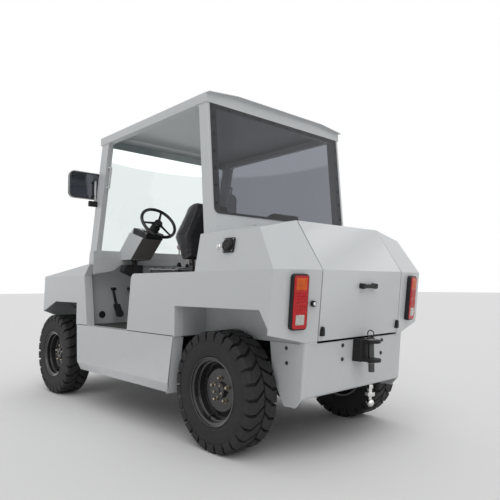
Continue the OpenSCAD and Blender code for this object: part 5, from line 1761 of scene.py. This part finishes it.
# Moves an outline's points inwards by a distance
def shrinkOutline(points, distance):
    following = points[1:] + points[:1]
    area = sum(here[0] * after[1] - after[0] * here[1] for here, after in zip(points, following))
    turn = 1 if area > 0 else -1
    made = []
    for number, point in enumerate(points):
        before = (Vector(point) - Vector(points[number - 1])).normalized()
        after = (Vector(following[number]) - Vector(point)).normalized()
        inwards = (Vector((-before.y, before.x)) + Vector((-after.y, after.x))) * turn
        length = max(0.5, inwards.length_squared / 2)
        made.append(Vector(point) + inwards * distance / length)
    return made


def taperBack(bm, look):
    shoulder, rise = look["shoulder"], look["top"] - look["shoulder"]
    for step in range(1, look["taperSteps"]):
        height = shoulder + rise * step / look["taperSteps"]
        bmesh.ops.bisect_plane(bm, geom=everything(bm), plane_co=(0, 0, height), plane_no=upwards)
    for vert in bm.verts:
        past = max(0.0, vert.co.z - shoulder) / rise
        share = 1 - (1 - look["head"] / (look["width"] / 2)) * min(1.0, past) ** look["taperBend"]
        vert.co.y *= share


def padStart(look, outline, tapered):
    bm = bmesh.new()
    half = look["width"] / 2 - look["shrink"]
    place = placeAt((0, half, 0), rightwards, forwards)
    addPlate(bm, shrinkOutline(outline, look["shrink"]), place, 2 * half)
    across = [e for e in bm.edges if abs(e.verts[0].co.y - e.verts[1].co.y) > half]
    bmesh.ops.subdivide_edges(bm, edges=across, cuts=look["cuts"], use_grid_fill=True)
    if tapered:
        taperBack(bm, look)
    splitLargeFaces(bm)
    return bm


def evaluatedMesh(piece):
    depsgraph = bpy.context.evaluated_depsgraph_get()
    return bpy.data.meshes.new_from_object(piece.evaluated_get(depsgraph), depsgraph=depsgraph)


def remeshed(piece, voxel):
    change = piece.modifiers.new("remesh", "REMESH")
    change.mode = "VOXEL"
    change.voxel_size = voxel
    mesh = evaluatedMesh(piece)
    piece.modifiers.remove(change)
    piece.data = mesh


# Swells a pad against its stitched cover, with its foot held still
def swollen(piece, look, foot):
    held = piece.vertex_groups.new(name="held")
    held.add([v.index for v in piece.data.vertices if v.co.z < foot], 1.0, "ADD")
    start = [v.co.copy() for v in piece.data.vertices]
    cloth = piece.modifiers.new("cloth", "CLOTH")
    settings = cloth.settings
    settings.quality = look["quality"]
    settings.mass = look["mass"]
    settings.use_pressure = True
    settings.uniform_pressure_force = look["pressure"]
    settings.effector_weights.gravity = 0
    settings.vertex_group_mass = "held"
    settings.tension_stiffness = look["stretch"]
    settings.compression_stiffness = look["stretch"]
    settings.bending_stiffness = look["bending"]
    cloth.collision_settings.use_collision = False
    cloth.collision_settings.use_self_collision = False
    cloth.point_cache.frame_start = 1
    cloth.point_cache.frame_end = look["frames"]
    for number in range(1, look["frames"] + 1):
        scene.frame_set(number)
    mesh = evaluatedMesh(piece)
    piece.modifiers.remove(cloth)
    piece.vertex_groups.clear()
    for vert, origin in zip(mesh.vertices, start):
        move = vert.co - origin
        if move.length > look["cap"]:
            vert.co = origin + move * look["cap"] / move.length
    piece.data = mesh
    scene.frame_set(1)


# Presses a sewn channel into a pad where a plane crosses its upper side
def pressChannel(bm, look, point, normal, facing):
    width, depth = look["channelWidth"], look["channelDepth"]
    for vert in bm.verts:
        away = abs((vert.co - point).dot(normal))
        if away < width and vert.normal.dot(facing) > look["channelReach"]:
            vert.co -= vert.normal * depth * (1 - away / width) ** look["channelBend"]


def padShape(look, outline, tapered, channels, facing):
    mesh = bpy.data.meshes.new("pad")
    bm = padStart(look, outline, tapered)
    bmesh.ops.recalc_face_normals(bm, faces=bm.faces)
    bm.to_mesh(mesh)
    bm.free()
    piece = bpy.data.objects.new("pad", mesh)
    scene.collection.objects.link(piece)
    remeshed(piece, look["voxel"])
    swollen(piece, look, min(z for _, z in outline) + look["held"])
    change = piece.modifiers.new("smooth", "SUBSURF")
    change.levels = 1
    change.render_levels = 1
    bm = bmesh.new()
    bm.from_mesh(evaluatedMesh(piece))
    bpy.data.objects.remove(piece)
    bmesh.ops.smooth_vert(bm, verts=bm.verts, factor=0.5, use_axis_x=True, use_axis_y=True, use_axis_z=True)
    bm.normal_update()
    for point, normal in channels:
        pressChannel(bm, look, Vector(point), Vector(normal).normalized(), Vector(facing).normalized())
    bm.normal_update()
    return bm


# Lays a cord of piping on a pad along one half of a line and back along its mirror image; the pale cord is a
# painted highlight along the pad's edge
def addPiping(seams, pad, line, look):
    tree = BVHTree.FromBMesh(pad)
    half = [(x, look["width"] / 2 - inset, z) for x, inset, z in line]
    points = half + [(x, -y, z) for x, y, z in reversed(half)]
    path = []
    for start, end in zip(points, points[1:] + points[:1]):
        steps = max(1, round((Vector(end) - Vector(start)).length / look["seamStep"]))
        for step in range(steps):
            spot, normal, _, _ = tree.find_nearest(Vector(start).lerp(Vector(end), step / steps))
            path.append(spot + normal * look["seam"] * look["seamLift"])
    addTube(seams, path + [path[0]], look["seam"], 8)


def makeSeats(look):
    cushion = padShape(look, look["cushion"], False, look["cushionChannels"], look["cushionUp"])
    back = padShape(look, look["back"], True, look["backChannels"], look["backUp"])
    seams, hinges = newShapes(2)
    addPiping(seams, cushion, look["cushionSeam"], look)
    addPiping(seams, back, look["backSeam"], look)
    depth = look["hingeDepth"]
    x, z = look["hingeBolt"]
    for middle in look["hinges"]:
        y = middle + depth / 2
        addPlate(hinges, look["hinge"], placeAt((0, y, 0), rightwards, forwards), depth, look["hingeEdge"], 2)
        addHexBolt(hinges, placeAt((x, y, z), leftwards), *look["bolt"])
    rows = [
        ("seatCushions", cushion, "vinyl", "seat_cushions"),
        ("seatBacks", back, "vinyl", "seat_backs"),
        # the piping's pale grey is a painted highlight along the pads' edges
        ("seatPipingHighlight", seams, "lightPlastic", None),
        ("seatHinges", hinges, "darkSteel", None),
    ]
    for name, shape, material, node in rows:
        other = copyOf(shape)
        bmesh.ops.translate(shape, verts=shape.verts, vec=at(look["x"], look["y"], look["z"]))
        bmesh.ops.translate(other, verts=other.verts, vec=at(look["x"], -look["y"], look["z"]))
        joinInto(shape, other)
        slot = None if node else "seat_vinyl"
        piece = finishPiece(name, shape, material, "chassis", [node] if node else [], slot, 50)


makeSeats(seatLook)
stageDone("seats")
